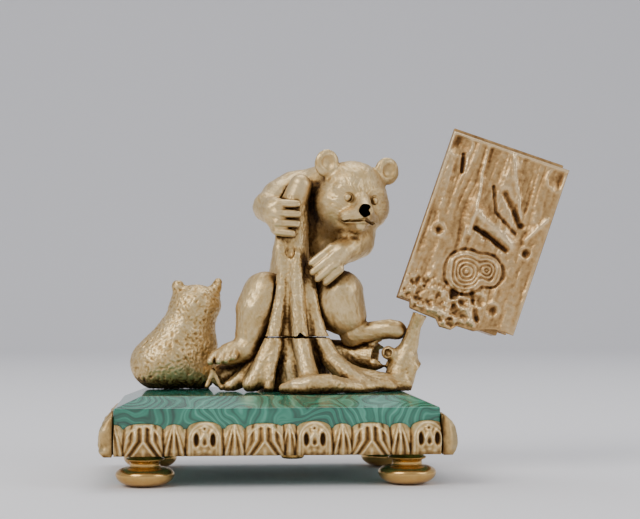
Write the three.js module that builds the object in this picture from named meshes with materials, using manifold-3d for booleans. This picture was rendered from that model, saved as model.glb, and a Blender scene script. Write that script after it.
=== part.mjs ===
// Gilt bronze bear and cub with a holder for a box of matches, on a malachite slab with a leaf border.
// Millimetres, +Z up, +Y away from the viewer. All places below are measured from the middle of the
// base at table height. The finished group is moved so that its origin is the middle of its own box.
import * as THREE from 'three';
import { mergeVertices } from 'three/addons/utils/BufferGeometryUtils.js';
import Module from 'manifold-3d';

const wasm = await Module();
wasm.setup();

// Driving sizes
const gap = 0.3;
const slab = { width: 109, depth: 70.4, bottom: 10.8, shoulder: 26.2, top: 29.9, bevel: 8.8 };
const border = { bulge: 4.8, pitch: 19, valley: 8.6, peak: 11.2, sideTop: 14.2, relief: 0.9 };
const foot = {
  x: 44.3, y: 27.5, sides: 16,
  bunRadius: 9.85, flatRadius: 3.1, widest: 3.9, bunTop: 6.3, neckRadius: 5.35, ringHeight: 0.4,
};
const nut = { x: 7, y: 1, radius: 4.2, height: 4.6, edge: 0.6, sides: 16 };
const seamHeight = 49.1;
const holder = {
  middle: [74.1, -10.5, 86.1], lean: 19.2, turn: 5, width: 43.4, height: 62.1,
  frontThickness: 2.6, clearGap: 15.4, backThickness: 1.6, backWidth: 42.4, backRise: 3.9,
  ledgeFrom: 6, ledgeTo: 38, ledgeDrop: 3, ledgeOverlap: 1, lipReach: 3.2,
};

// Sampling step of each modelled surface, the box it is sampled in and the triangles it keeps.
// Spots in a list of care keep more of their shape than the rest: [middle, reach, weight].
const detail = {
  bear: {
    step: 0.66, low: [-27, -14, 36], high: [50, 38, 122], faces: 3200,
    care: [[[32, -10, 96], 13, 7], [[5, -5, 91], 8, 2.5], [[18, -6, 75], 8, 2.5], [[30, 2, 111], 15, 2]],
  },
  cub: { step: 0.8, low: [-54, -2, 26], high: [-12, 33, 74], faces: 720, care: [] },
  tree: { step: 0.82, low: [-27, -27, 27], high: [57, 30, 110], faces: 1900, care: [[[38, 2, 41], 9, 2.5]] },
  frontStrip: { step: 0.75, faces: 700, care: [] },
  backStrip: { step: 0.75, faces: 340, care: [] },
  sideStrip: { step: 0.75, faces: 320, care: [] },
  frontPlate: { step: 0.75, faces: 640, care: [] },
};

const degrees = Math.PI / 180;
const clamp = (value, low, high) => Math.min(high, Math.max(low, value));
const mix = (a, b, t) => a + (b - a) * t;
const smoothstep = (low, high, value) => {
  const t = clamp((value - low) / (high - low), 0, 1);
  return t * t * (3 - 2 * t);
};

// Solid forms as distance functions: negative inside, positive outside

const ball = (centre, radius) => (x, y, z) => {
  const dx = x - centre[0];
  const dy = y - centre[1];
  const dz = z - centre[2];
  return Math.sqrt(dx * dx + dy * dy + dz * dz) - radius;
};

const oval = (centre, radii) => (x, y, z) => {
  const dx = (x - centre[0]) / radii[0];
  const dy = (y - centre[1]) / radii[1];
  const dz = (z - centre[2]) / radii[2];
  const reach = Math.sqrt(dx * dx + dy * dy + dz * dz);
  const ex = dx / radii[0];
  const ey = dy / radii[1];
  const ez = dz / radii[2];
  const slope = Math.sqrt(ex * ex + ey * ey + ez * ez);
  return slope < 1e-9 ? -Math.min(...radii) : (reach * (reach - 1)) / slope;
};

function limb(start, startRadius, end, endRadius) {
  const bx = end[0] - start[0];
  const by = end[1] - start[1];
  const bz = end[2] - start[2];
  const lengthSquared = bx * bx + by * by + bz * bz;
  return (x, y, z) => {
    const px = x - start[0];
    const py = y - start[1];
    const pz = z - start[2];
    const t = clamp((px * bx + py * by + pz * bz) / lengthSquared, 0, 1);
    const dx = px - bx * t;
    const dy = py - by * t;
    const dz = pz - bz * t;
    return Math.sqrt(dx * dx + dy * dy + dz * dz) - mix(startRadius, endRadius, t);
  };
}

// A run of limbs through stations of [x, y, z, radius]
function chain(stations) {
  const limbs = stations.slice(1).map((end, i) => limb(stations[i], stations[i][3], end, end[3]));
  return (x, y, z) => {
    let nearest = Infinity;
    for (const form of limbs) nearest = Math.min(nearest, form(x, y, z));
    return nearest;
  };
}

function softMin(a, b, softness) {
  const h = Math.max(softness - Math.abs(a - b), 0) / softness;
  return Math.min(a, b) - h * h * softness * 0.25;
}

const blend = (softness, forms) => (x, y, z) => {
  let nearest = forms[0](x, y, z);
  for (let i = 1; i < forms.length; i++) nearest = softMin(nearest, forms[i](x, y, z), softness);
  return nearest;
};

const carve = (softness, form, cutters) => (x, y, z) => {
  let depth = form(x, y, z);
  for (const cutter of cutters) depth = -softMin(-depth, cutter(x, y, z), softness);
  return depth;
};

// What lies on the side of a plane that its normal points away from
const halfSpace = (point, normal) => (x, y, z) =>
  (x - point[0]) * normal[0] + (y - point[1]) * normal[1] + (z - point[2]) * normal[2];

const within = (form, limit) => (x, y, z) => Math.max(form(x, y, z), limit(x, y, z));

// A form given in its own right, forward and up directions
function inFrame({ origin, right, forward, up }, form) {
  return (x, y, z) => {
    const dx = x - origin[0];
    const dy = y - origin[1];
    const dz = z - origin[2];
    return form(
      dx * right[0] + dy * right[1] + dz * right[2],
      dx * forward[0] + dy * forward[1] + dz * forward[2],
      dx * up[0] + dy * up[1] + dz * up[2],
    );
  };
}

// The frame of a head that looks at the viewer, turned to the right, nodding down and leaning right
function headFrame(origin, turn, nod, lean) {
  const right0 = new THREE.Vector3(Math.cos(turn), Math.sin(turn), 0);
  const forward = new THREE.Vector3(
    Math.sin(turn) * Math.cos(nod),
    -Math.cos(turn) * Math.cos(nod),
    -Math.sin(nod),
  );
  const up0 = forward.clone().cross(right0);
  const up = up0.clone().multiplyScalar(Math.cos(lean)).addScaledVector(right0, Math.sin(lean));
  const right = right0.clone().multiplyScalar(Math.cos(lean)).addScaledVector(up0, -Math.sin(lean));
  return { origin, right: right.toArray(), forward: forward.toArray(), up: up.toArray() };
}

// Surface of a form: every grid cube is split into six tetrahedra that share its long diagonal

const axisOrders = [[0, 1, 2], [1, 2, 0], [2, 0, 1], [0, 2, 1], [2, 1, 0], [1, 0, 2]];
const evenOrders = {
  1: [0, 1, 2, 3], 2: [1, 0, 3, 2], 4: [2, 0, 1, 3], 8: [3, 0, 2, 1],
  3: [0, 1, 2, 3], 5: [0, 2, 3, 1], 9: [0, 3, 1, 2], 6: [1, 2, 0, 3], 10: [1, 3, 2, 0], 12: [2, 3, 0, 1],
};
const edgeMargin = 0.06;
const blockSize = 5;

function surfaceOf(form, low, high, step) {
  const count = low.map((value, axis) => Math.ceil((high[axis] - value) / step) + 1);
  const stride = [1, count[0], count[0] * count[1]];
  const values = new Float64Array(count[0] * count[1] * count[2]);
  // Blocks whose middle is further from the surface than their corners are filled in one go
  const blockReach = blockSize * step * 0.9;
  const each = (start, limit) => {
    const length = Math.min(blockSize, limit - start);
    return Array.from({ length }, (_, i) => start + i);
  };
  for (let k0 = 0; k0 < count[2]; k0 += blockSize) {
    for (let j0 = 0; j0 < count[1]; j0 += blockSize) {
      for (let i0 = 0; i0 < count[0]; i0 += blockSize) {
        const middle = [i0, j0, k0].map((start, axis) => low[axis] + (start + (blockSize - 1) / 2) * step);
        const distance = form(...middle);
        const far = Math.abs(distance) > blockReach;
        for (const k of each(k0, count[2])) {
          for (const j of each(j0, count[1])) {
            for (const i of each(i0, count[0])) {
              const value = far ? distance : form(low[0] + i * step, low[1] + j * step, low[2] + k * step);
              const onBorder = [i, j, k].some((place, axis) => place === 0 || place === count[axis] - 1);
              values[i + j * stride[1] + k * stride[2]] = onBorder ? Math.max(value, step) : value || 1e-9;
            }
          }
        }
      }
    }
  }

  const points = [];
  const faces = [];
  const pointOnEdge = new Map();
  const place = (n) => [n % stride[1], Math.floor(n / stride[1]) % count[1], Math.floor(n / stride[2])];
  const crossing = (a, b) => {
    const first = Math.min(a, b);
    const second = Math.max(a, b);
    const key = first * stride[2] * 2 + (second - first);
    if (!pointOnEdge.has(key)) {
      const t = clamp(values[first] / (values[first] - values[second]), edgeMargin, 1 - edgeMargin);
      const from = place(first);
      const to = place(second);
      pointOnEdge.set(key, points.length);
      points.push(from.map((value, axis) => low[axis] + step * mix(value, to[axis], t)));
    }
    return pointOnEdge.get(key);
  };

  for (let k = 0; k < count[2] - 1; k++) {
    for (let j = 0; j < count[1] - 1; j++) {
      for (let i = 0; i < count[0] - 1; i++) {
        const corner = i + j * stride[1] + k * stride[2];
        axisOrders.forEach((order, orderIndex) => {
          const tet = [corner];
          for (const axis of order) tet.push(tet[tet.length - 1] + stride[axis]);
          if (orderIndex > 2) [tet[1], tet[2]] = [tet[2], tet[1]];
          let mask = 0;
          tet.forEach((n, bit) => {
            if (values[n] < 0) mask |= 1 << bit;
          });
          if (mask === 0 || mask === 15) return;
          const flipped = !(mask in evenOrders);
          const [a, b, c, d] = evenOrders[flipped ? 15 - mask : mask].map((bit) => tet[bit]);
          const single = [1, 2, 4, 8].includes(flipped ? 15 - mask : mask);
          const ring = single
            ? [crossing(a, b), crossing(a, c), crossing(a, d)]
            : [crossing(a, c), crossing(a, d), crossing(b, d), crossing(b, c)];
          if (flipped) ring.reverse();
          faces.push([ring[0], ring[1], ring[2]]);
          if (ring.length === 4) faces.push([ring[0], ring[2], ring[3]]);
        });
      }
    }
  }
  return { points, faces };
}

// Fewer faces: the cheapest edges are drawn together while the body stays closed and unfolded

const cross = (a, b) => [a[1] * b[2] - a[2] * b[1], a[2] * b[0] - a[0] * b[2], a[0] * b[1] - a[1] * b[0]];
const dot = (a, b) => a[0] * b[0] + a[1] * b[1] + a[2] * b[2];
const minus = (a, b) => [a[0] - b[0], a[1] - b[1], a[2] - b[2]];

function faceNormal(points, [a, b, c]) {
  return cross(minus(points[b], points[a]), minus(points[c], points[a]));
}

// The ten numbers of a squared distance from a plane, weighted by the face's area
function planeError(points, face) {
  const normal = faceNormal(points, face);
  const size = Math.sqrt(dot(normal, normal));
  if (size < 1e-12) return new Array(10).fill(0);
  const [a, b, c] = normal.map((value) => value / size);
  const d = -(a * points[face[0]][0] + b * points[face[0]][1] + c * points[face[0]][2]);
  return [a * a, a * b, a * c, a * d, b * b, b * c, b * d, c * c, c * d, d * d].map((value) => value * size);
}

function errorAt(q, [x, y, z]) {
  return (
    q[0] * x * x + 2 * q[1] * x * y + 2 * q[2] * x * z + 2 * q[3] * x
    + q[4] * y * y + 2 * q[5] * y * z + 2 * q[6] * y + q[7] * z * z + 2 * q[8] * z + q[9]
  );
}

// Where the error is least, or the better end or middle of the edge where that place is unsure
function bestPlace(q, from, to) {
  const middle = [(from[0] + to[0]) / 2, (from[1] + to[1]) / 2, (from[2] + to[2]) / 2];
  const edge = minus(from, to);
  const yz = q[4] * q[7] - q[5] * q[5];
  const det = q[0] * yz - q[1] * (q[1] * q[7] - q[5] * q[2]) + q[2] * (q[1] * q[5] - q[4] * q[2]);
  if (Math.abs(det) > 1e-6) {
    const best = [
      -(q[3] * yz - q[1] * (q[6] * q[7] - q[5] * q[8]) + q[2] * (q[6] * q[5] - q[4] * q[8])) / det,
      -(q[0] * (q[6] * q[7] - q[8] * q[5]) - q[3] * (q[1] * q[7] - q[5] * q[2])
        + q[2] * (q[1] * q[8] - q[6] * q[2])) / det,
      -(q[0] * (q[4] * q[8] - q[5] * q[6]) - q[1] * (q[1] * q[8] - q[6] * q[2])
        + q[3] * (q[1] * q[5] - q[4] * q[2])) / det,
    ];
    const reach = minus(best, middle);
    if (dot(reach, reach) < dot(edge, edge)) return best;
  }
  const errors = [from, to, middle].map((place) => errorAt(q, place));
  return [from, to, middle][errors.indexOf(Math.min(...errors))];
}

// A queue that hands out its cheapest entry first
class Queue {
  entries = [];

  push(entry) {
    const { entries } = this;
    let place = entries.length;
    while (place > 0) {
      const parent = (place - 1) >> 1;
      if (entries[parent].cost <= entry.cost) break;
      entries[place] = entries[parent];
      place = parent;
    }
    entries[place] = entry;
  }

  pop() {
    const { entries } = this;
    const first = entries[0];
    const last = entries.pop();
    if (entries.length === 0) return first;
    let place = 0;
    for (;;) {
      let child = 2 * place + 1;
      if (child >= entries.length) break;
      if (child + 1 < entries.length && entries[child + 1].cost < entries[child].cost) child++;
      if (entries[child].cost >= last.cost) break;
      entries[place] = entries[child];
      place = child;
    }
    entries[place] = last;
    return first;
  }
}

function simplify({ points, faces }, goal, care) {
  const errors = points.map(() => new Float64Array(10));
  const around = points.map(() => []);
  const weightAt = (point) => care.reduce(
    (weight, [middle, reach, extra]) => (Math.hypot(...minus(point, middle)) < reach ? extra : weight),
    1,
  );
  faces.forEach((face, index) => {
    const error = planeError(points, face);
    const weight = weightAt(points[face[0]]);
    for (const corner of face) {
      around[corner].push(index);
      for (let i = 0; i < 10; i++) errors[corner][i] += error[i] * weight;
    }
  });
  const changes = new Uint32Array(points.length);
  const queue = new Queue();
  const consider = (from, to) => {
    const q = errors[from].map((value, i) => value + errors[to][i]);
    const place = bestPlace(q, points[from], points[to]);
    const edge = minus(points[from], points[to]);
    const cost = errorAt(q, place) + dot(edge, edge) * 1e-4;
    queue.push({ from, to, q, place, cost, changes: changes[from] + changes[to] });
  };
  for (const [a, b, c] of faces) {
    if (a < b) consider(a, b);
    if (b < c) consider(b, c);
    if (c < a) consider(c, a);
  }

  let left = faces.length;
  while (left > goal && queue.entries.length > 0) {
    const { from, to, q, place, changes: then } = queue.pop();
    if (changes[from] + changes[to] !== then) continue;
    if (around[from].length === 0 || around[to].length === 0) continue;
    const ring = neighbours(faces, around, from);
    const otherRing = neighbours(faces, around, to);
    let shared = 0;
    for (const corner of otherRing) shared += ring.has(corner) ? 1 : 0;
    if (shared !== 2 || !staysOpen(points, faces, around, from, to, place)) continue;
    const gone = around[from].filter((index) => faces[index].includes(to));
    for (const index of gone) {
      const tip = faces[index].find((corner) => corner !== from && corner !== to);
      around[tip] = around[tip].filter((other) => other !== index);
      faces[index] = null;
    }
    around[from] = around[from].filter((index) => faces[index]);
    for (const index of around[to]) {
      if (!faces[index]) continue;
      faces[index] = faces[index].map((corner) => (corner === to ? from : corner));
      around[from].push(index);
    }
    around[to] = [];
    left -= gone.length;
    points[from] = place;
    errors[from] = q;
    changes[from]++;
    changes[to]++;
    for (const corner of neighbours(faces, around, from)) consider(from, corner);
  }
  return { points, faces: faces.filter(Boolean) };
}

function neighbours(faces, around, corner) {
  const ring = new Set();
  for (const index of around[corner]) {
    for (const other of faces[index]) ring.add(other);
  }
  ring.delete(corner);
  return ring;
}

// True where drawing an edge together turns no neighbouring face over and makes none a sliver
function staysOpen(points, live, around, from, to, place) {
  for (const corner of [from, to]) {
    for (const index of around[corner]) {
      const face = live[index];
      if (face.includes(from) && face.includes(to)) continue;
      const before = faceNormal(points, face);
      const moved = face.map((other) => (other === corner ? place : points[other]));
      const after = cross(minus(moved[1], moved[0]), minus(moved[2], moved[0]));
      const sizes = Math.sqrt(dot(before, before) * dot(after, after));
      if (dot(before, after) < 0.25 * sizes) return false;
      const longest = Math.max(...[0, 1, 2].map((i) => Math.hypot(...minus(moved[i], moved[(i + 1) % 3]))));
      if (Math.sqrt(dot(after, after)) < 0.03 * longest * longest) return false;
    }
  }
  return true;
}

// Meshes, geometries and solids

function geometryOf({ points, faces }) {
  const used = [...new Set(faces.flat())];
  const order = new Map(used.map((corner, i) => [corner, i]));
  const geometry = new THREE.BufferGeometry();
  const places = used.flatMap((corner) => points[corner]);
  geometry.setAttribute('position', new THREE.Float32BufferAttribute(places, 3));
  geometry.setIndex(faces.flatMap((face) => face.map((corner) => order.get(corner))));
  return geometry;
}

function solidOf(geometry) {
  return new wasm.Manifold(new wasm.Mesh({
    numProp: 3,
    vertProperties: new Float32Array(geometry.attributes.position.array),
    triVerts: new Uint32Array(geometry.index.array),
  }));
}

function geometryFrom(solid) {
  const { vertProperties, triVerts } = solid.getMesh();
  const geometry = new THREE.BufferGeometry();
  geometry.setAttribute('position', new THREE.Float32BufferAttribute(vertProperties, 3));
  geometry.setIndex(new THREE.Uint32BufferAttribute(triVerts, 1));
  return geometry;
}

const largestFirst = (bodies) => bodies.sort((a, b) => b.volume() - a.volume());

// The largest closed body of a solid, without crumbs that a cut leaves
const mainBody = (solid) => largestFirst(solid.decompose())[0];

function simplified(form, { step, low, high, faces, care }) {
  return solidOf(geometryOf(simplify(surfaceOf(form, low, high, step), faces, care)));
}

// Keeps what lies above a plane along its normal
const keepAbove = (solid, normal, offset) => mainBody(solid.trimByPlane(normal, offset));

// Tree: trunk, strands that run down it into the roots, log, stump and branch

const trunkStations = [
  [9.8, 1, 103.3, 4.1], [7.8, 1.8, 97, 5.2], [7.5, 2, 84, 5.4], [7.7, 2.2, 73, 5.7],
  [8.2, 2.6, 62, 6.7], [8.4, 3, 49, 8.4], [8.8, 4, 38, 10.6], [8.8, 6, 28, 12.5],
];
const strands = {
  left: [
    [4.4, -1, 80, 2.1], [3.6, -1.7, 74, 2.3], [2.5, -2.7, 62.2, 2.5], [0, -4, 49.1, 2.9],
    [-3.8, -5, 40.4, 3.2], [-7, -5, 33.5, 3.6],
  ],
  middle: [
    [8, -2.8, 78, 2.4], [8.4, -4.3, 62.2, 2.8], [9.2, -6, 49.2, 3.2], [10.8, -9.4, 41, 3.3],
    [12, -14, 33.6, 4],
  ],
  right: [
    [12.4, -0.6, 72, 2.2], [14.2, -2, 58.7, 2.6], [16.2, -3, 49.8, 3], [20.4, -5, 41.2, 3.5],
    [26.7, -8, 35, 3.6], [33, -10, 31.4, 3.2],
  ],
  farRight: [[14, 5, 56, 2], [18, 7, 46, 2.8], [25, 10, 36, 3.2], [33, 13, 30.5, 2.6]],
  back: [[8, 6.5, 60, 2], [7, 10, 46, 3], [2, 19, 35, 4], [-3, 24, 29.5, 3]],
  backRight: [[10, 7, 58, 2], [13, 12, 44, 3.4], [19, 20, 34, 3.6], [24, 24.5, 29.5, 2.6]],
};
const roots = [
  [[-0.3, 2, 46.1, 3.2], [-6.3, 1, 38.6, 3.5], [-12.4, -1, 33.4, 2.9], [-15.4, -2, 31.6, 2.4]],
  [[1.1, -5, 46.3, 2], [-1.1, -7.5, 38.3, 1.9], [-2, -8.6, 31.5, 2]],
  [[24, -3, 38, 3.2], [30, -4, 35, 3.4], [39.5, -5, 33, 3.6], [46.4, -5, 32.2, 2.9]],
  [[34, -8, 32, 2.8], [41, -9, 31.4, 2.4]],
];
const blockRoot = [[-4.6, -5.6, 36.4, 2.6], [-8.6, -7.4, 32.4, 2.5]];
const frontMound = [
  [3.2, -17.4, 31.6, 2.2], [7, -19.4, 32.2, 3.3], [12, -20, 33, 3.7], [18, -18.6, 33.2, 3.7],
  [23, -15.6, 32, 3.4], [29, -13, 31.2, 3],
];
const seatMound = { middle: [9, 18, 35], radii: [13, 8.5, 11.6] };
const knotHole = { middle: [5.9, -4.2, 79.6], radii: [1.5, 1.7, 2.4] };
const rootRecess = { middle: [4.2, -11.5, 35.4], radii: [2.8, 5, 5] };
const forkStub = [[2.7, -1, 85.4, 2], [2.1, -1.9, 80, 2], [2.3, -2.2, 75.4, 1.7]];
const log = {
  stations: [
    [-18, 6.5, 34.9, 4.4], [-6, 10, 37.5, 5], [8, 13, 41.5, 5.6], [21, 11.5, 42.6, 5.5],
    [37.4, 4.6, 41.4, 5.5],
  ],
  mouth: [37.2, 4.8, 41.4], mouthNormal: [0.9, -0.38, -0.15],
  bore: [[30, 7.6, 41.8, 3.9], [40, 3.4, 41.2, 4.4]],
  shards: [
    [[34.6, 4, 46, 1.5], [38.6, 2, 48, 0.8]], [[36.6, 1.6, 39.4, 2.6], [43.4, 0.4, 40, 1.4]],
    [[38, 6, 44.6, 2], [42.4, 4.4, 42.6, 1.1]],
  ],
};
const brokenTwig = [[[-21.4, 0, 37], [-23.6, -1, 31.6]], [[-21.4, 0, 37], [-18.4, -1, 31]]];
const twigRadius = 0.95;
const stump = {
  stations: [[44, -2.6, 31, 5.4], [46, -1, 37, 5.4], [47.3, -1, 42, 4.7], [48.9, -1.8, 46.6, 3]],
  stub: [[46, -1, 40.4, 4.6], [53, -1, 33.6, 4.4]],
  cutPoint: [50.6, -1, 36.6], cutNormal: [0.75, 0, -0.66],
  knob: [[44.5, -1.4, 42, 2.4], [40.9, -3.4, 43.4, 2.5]],
  knobDimple: [[40.2, -6.4, 43.6, 1.3], [40.8, -4.6, 43.4, 1.2]],
};
const branch = [[48.9, -1.8, 46.6, 3], [50.4, -4.6, 53.3, 2.4], [51.8, -6.2, 57, 2.7], [52.6, -6.4, 60, 2.9]];
const groundLift = gap;

// How softly parts run into each other, in mm: small values leave a crease
const softness = {
  bark: 1.9, ground: 2.2, shard: 0.6, cut: 0.4, stump: 1, joinedTree: 1, hollow: 0.8,
  skull: 3, face: 1.8, ear: 1.6, onHead: 1.2, faceCut: 0.7, eye: 0.3,
  body: 3.2, arm: 2, foot: 1.4, toe: 0.5, finger: 0.35, neck: 2.4, digit: 0.9, cubBody: 3, cubLimb: 1.4,
};

function treeForm() {
  const bark = blend(softness.bark, [trunkStations, ...Object.values(strands), forkStub].map(chain));
  const lower = [...roots, blockRoot, frontMound].map(chain);
  const ground = blend(softness.ground, [bark, ...lower, oval(seatMound.middle, seatMound.radii)]);
  const logOutside = within(chain(log.stations), halfSpace(log.mouth, log.mouthNormal));
  const raggedLog = blend(softness.shard, [logOutside, ...log.shards.map(chain)]);
  const hollowLog = carve(softness.cut, raggedLog, [chain(log.bore)]);
  const stub = within(chain(stump.stub), halfSpace(stump.cutPoint, stump.cutNormal));
  const stumpParts = [chain(stump.stations), stub, chain(branch), chain(stump.knob)];
  const stumpForm = carve(softness.cut, blend(softness.stump, stumpParts), [chain(stump.knobDimple)]);
  const twig = brokenTwig.map(([from, to]) => limb(from, twigRadius, to, twigRadius));
  const whole = blend(softness.joinedTree, [ground, hollowLog, stumpForm, ...twig]);
  const hollows = [knotHole, rootRecess].map(({ middle, radii }) => oval(middle, radii));
  return carve(softness.hollow, whole, hollows);
}

// Bear

const bear = {
  rump: { middle: [9.5, 22, 57.5], radius: 11 },
  torso: [[9.5, 21.5, 62, 11.6], [12, 21.5, 80, 11.2], [15, 19, 95, 11], [20, 12, 101, 9.6]],
  shoulder: [[14, 14.5, 101.6, 9], [21, 11, 104, 8]],
  chest: [[20.5, 15.5, 85, 9], [22, 14, 92, 9]],
  belly: { middle: [12, 13, 66], radii: [9, 7, 11] },
  leftArm: [[8.5, 13.5, 101, 8.6], [3.4, 9.4, 98.6, 7.8], [-1.5, 5.2, 95.8, 5.8], [0.2, -0.6, 93.6, 4.8]],
  leftPalm: [[0.6, -1.8, 95, 3.7], [1.8, -2.2, 88.4, 3.3]],
  rightArm: [
    [27, 16, 96, 8.5], [31.2, 10, 89.4, 7.2], [30.6, 3.4, 83.4, 6.3], [27.4, -1.2, 81, 5.3], [24.2, -4, 79, 4.3],
  ],
  rightPalm: [[23.4, -4.4, 79, 4], [21.6, -5, 76, 3.4]],
  leftLeg: [
    [7, 18, 61, 9], [-2.6, 5, 64.2, 8.4], [-5.4, 4, 58.6, 8], [-7.6, 3, 50, 6], [-9.2, 2.4, 45.4, 4.8],
  ],
  rightLeg: [
    [17, 18, 60, 9.2], [24.3, 3.6, 64.6, 8.6], [26.3, 4, 56.8, 7.7], [28.6, 4, 51.4, 5], [28.6, 4.4, 49.2, 3.9],
  ],
  rightInnerThigh: [[14, 10, 62, 7], [20, 5, 59.2, 7.4]],
  leftFoot: [[-9.4, 1.8, 44.4, 5], [-15.4, 0.8, 43, 4.3], [-19.4, 1.2, 42, 2.9]],
  rightFoot: [[28.8, 4, 49.3, 3.9], [36.4, 2.6, 51.1, 3.6], [42, 1.2, 51.8, 3.7], [44.6, 0.6, 51.4, 3.5]],
  tail: [[9.5, 32.5, 54, 2.6], [9.5, 34.8, 52.6, 2]],
};
const fingers = {
  radius: 1.75,
  left: [
    [[1.4, -4.2, 96.4], [8.4, -5, 96.2]], [[1, -4.8, 93], [8.6, -5.6, 92.6]],
    [[1, -4.8, 89.6], [8.2, -5.4, 89.2]], [[1.2, -4.2, 86.6], [6.6, -5.4, 85.8]],
  ],
  right: [
    [[20.4, -6, 80.8], [13.4, -5.4, 75.4]], [[21, -7, 78], [13.8, -5.8, 72.2]],
    [[22, -7.2, 75.4], [15.6, -5.6, 69.8]], [[23.2, -6.4, 73.2], [18.4, -5, 68.6]],
  ],
};
const toes = {
  radius: 1.75,
  left: [
    [[-20.8, 1, 42.4], [-22.2, -2.6, 40.6]], [[-18.2, 0, 43], [-19.2, -4.4, 40.8]],
    [[-15.8, -0.6, 43.4], [-16.6, -5.2, 41.2]], [[-13.4, -1.2, 44], [-14.2, -5.6, 42.2]],
  ],
  right: [
    [[43, 3, 51.8], [46.4, 2.8, 50.6]], [[43.4, 1.2, 52], [47, 0.7, 50.8]],
    [[43.2, -0.6, 51.8], [46.6, -1.4, 50.6]],
  ],
};
const head = {
  origin: [28.76, 2.5, 99.84], turn: 13.4, nod: 2.9, lean: 5.6,
  skull: { middle: [0, -1.5, 2.1], radii: [12, 12.2, 10.6] },
  cheek: { middle: [5.4, 0.6, -3.6], radii: [8.5, 9, 8.4] },
  brow: [[2.8, 9, 2.2, 1.9], [7.2, 7.4, 1.6, 1.9]],
  bridge: [[0, 8.4, 0, 3.2], [0, 14.2, -4.2, 2.4]],
  muzzle: [[0, 7, -5.8, 5.8], [0, 12.4, -6.4, 4]],
  nose: { middle: [0, 16.4, -5.3], radii: [2.5, 1.6, 2.1] },
  nostril: { middle: [1.35, 17.7, -5.2], radius: 0.8 },
  lip: [[0.8, 14.4, -7.2, 2], [4.9, 9.8, -8.2, 2.4]],
  chin: [[0, 6.8, -10.2, 4.2], [0, 12.4, -11, 2]],
  mouth: [[0, 16.6, -8.7, 0.5], [6, 9.8, -9.5, 0.6]],
  eyeSocket: { middle: [5.1, 11.3, -1.4], radius: 1.9 },
  eye: { middle: [5, 9.6, -1.4], radius: 1.45 },
  ear: { middle: [11.5, 1.6, 10.2], radii: [4.6, 2, 5.1] },
  earRoot: [[7.4, -0.5, 6.8, 3.8], [10, 0.4, 8.8, 2.9]],
  earHollow: { middle: [11.8, 4.2, 10.6], radii: [2.7, 2.2, 3.1] },
  throat: [[-1, 1, -8, 7.4], [-3, -8, -8, 9]],
};

const mirrored = ([a, ...others], side) => [a * side, ...others];

// Runs a maker of forms for the left side and for the right side
const onBothSides = (make) => [-1, 1].map(make);

function headForm() {
  const ovalAt = ({ middle, radii }, side = 1) => oval(mirrored(middle, side), radii);
  const ballAt = ({ middle, radius }, side) => ball(mirrored(middle, side), radius);
  const chainAt = (stations, side) => chain(stations.map((station) => mirrored(station, side)));
  const mass = blend(softness.skull, [
    ovalAt(head.skull), ...onBothSides((side) => ovalAt(head.cheek, side)), chain(head.throat),
  ]);
  const face = blend(softness.face, [
    mass, chain(head.bridge), chain(head.muzzle), chain(head.chin),
    ...onBothSides((side) => chainAt(head.brow, side)), ...onBothSides((side) => chainAt(head.lip, side)),
  ]);
  const earAt = (side) => blend(softness.ear, [ovalAt(head.ear, side), chainAt(head.earRoot, side)]);
  const withEars = blend(softness.onHead, [face, ovalAt(head.nose), ...onBothSides(earAt)]);
  const cut = carve(softness.faceCut, withEars, [
    ...onBothSides((side) => ballAt(head.nostril, side)), ...onBothSides((side) => chainAt(head.mouth, side)),
    ...onBothSides((side) => ballAt(head.eyeSocket, side)), ...onBothSides((side) => ovalAt(head.earHollow, side)),
  ]);
  return blend(softness.eye, [cut, ...onBothSides((side) => ballAt(head.eye, side))]);
}

const tipShare = 0.8;

// Fingers or toes of both sides, each tapering to its tip
function digits({ left, right, radius }) {
  return [...left, ...right].map(([from, to]) => limb(from, radius, to, radius * tipShare));
}

function bearForm(tree) {
  const masses = [
    bear.torso, bear.shoulder, bear.chest, bear.rightInnerThigh, bear.leftLeg, bear.rightLeg, bear.tail,
  ];
  const body = blend(softness.body, [
    ball(bear.rump.middle, bear.rump.radius), oval(bear.belly.middle, bear.belly.radii), ...masses.map(chain),
  ]);
  const arms = [bear.leftArm, bear.leftPalm, bear.rightArm, bear.rightPalm];
  const withArms = blend(softness.arm, [body, ...arms.map(chain)]);
  const withFeet = blend(softness.foot, [withArms, chain(bear.leftFoot), chain(bear.rightFoot)]);
  const frame = headFrame(head.origin, head.turn * degrees, head.nod * degrees, head.lean * degrees);
  const withHead = blend(softness.neck, [withFeet, inFrame(frame, headForm())]);
  const toeForms = blend(softness.toe, digits(toes));
  const fingerForms = blend(softness.finger, digits(fingers));
  const whole = blend(softness.digit, [withHead, toeForms, fingerForms]);
  return (x, y, z) => Math.max(whole(x, y, z), 2 * gap - tree(x, y, z));
}

// Cub, seen from behind, with its weight on its haunches

const cub = {
  haunch: { middle: [-38.4, 14.5, 39.4], radii: [13, 11.8, 10.6] },
  back: [[-35.2, 14.5, 44.6, 10.4], [-30, 15, 55, 8.2]],
  rightHaunch: { middle: [-28.4, 17, 37.4], radii: [9, 10.4, 9.4] },
  flank: [[-27.4, 16, 46, 8], [-27.6, 16, 54, 6.6]],
  foreLeg: [[-29.5, 21, 52, 4.6], [-26, 25, 38, 3.6], [-25.5, 26, 32, 3.4]],
  otherForeLeg: [[-36, 23, 50, 4.6], [-36, 26.5, 38, 3.6], [-36.5, 27, 32, 3.4]],
  head: { middle: [-27.6, 16, 60.4], radii: [9.4, 9, 7.6] },
  muzzle: [[-25.5, 22.5, 58.4, 4], [-24.2, 27, 57.2, 2.6]],
  earTips: [[[-33.2, 15, 64.6, 3], [-34, 14.6, 67.2, 2.4]], [[-21, 15.6, 65, 2.6], [-19.4, 15.4, 68.6, 1.7]]],
};

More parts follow.
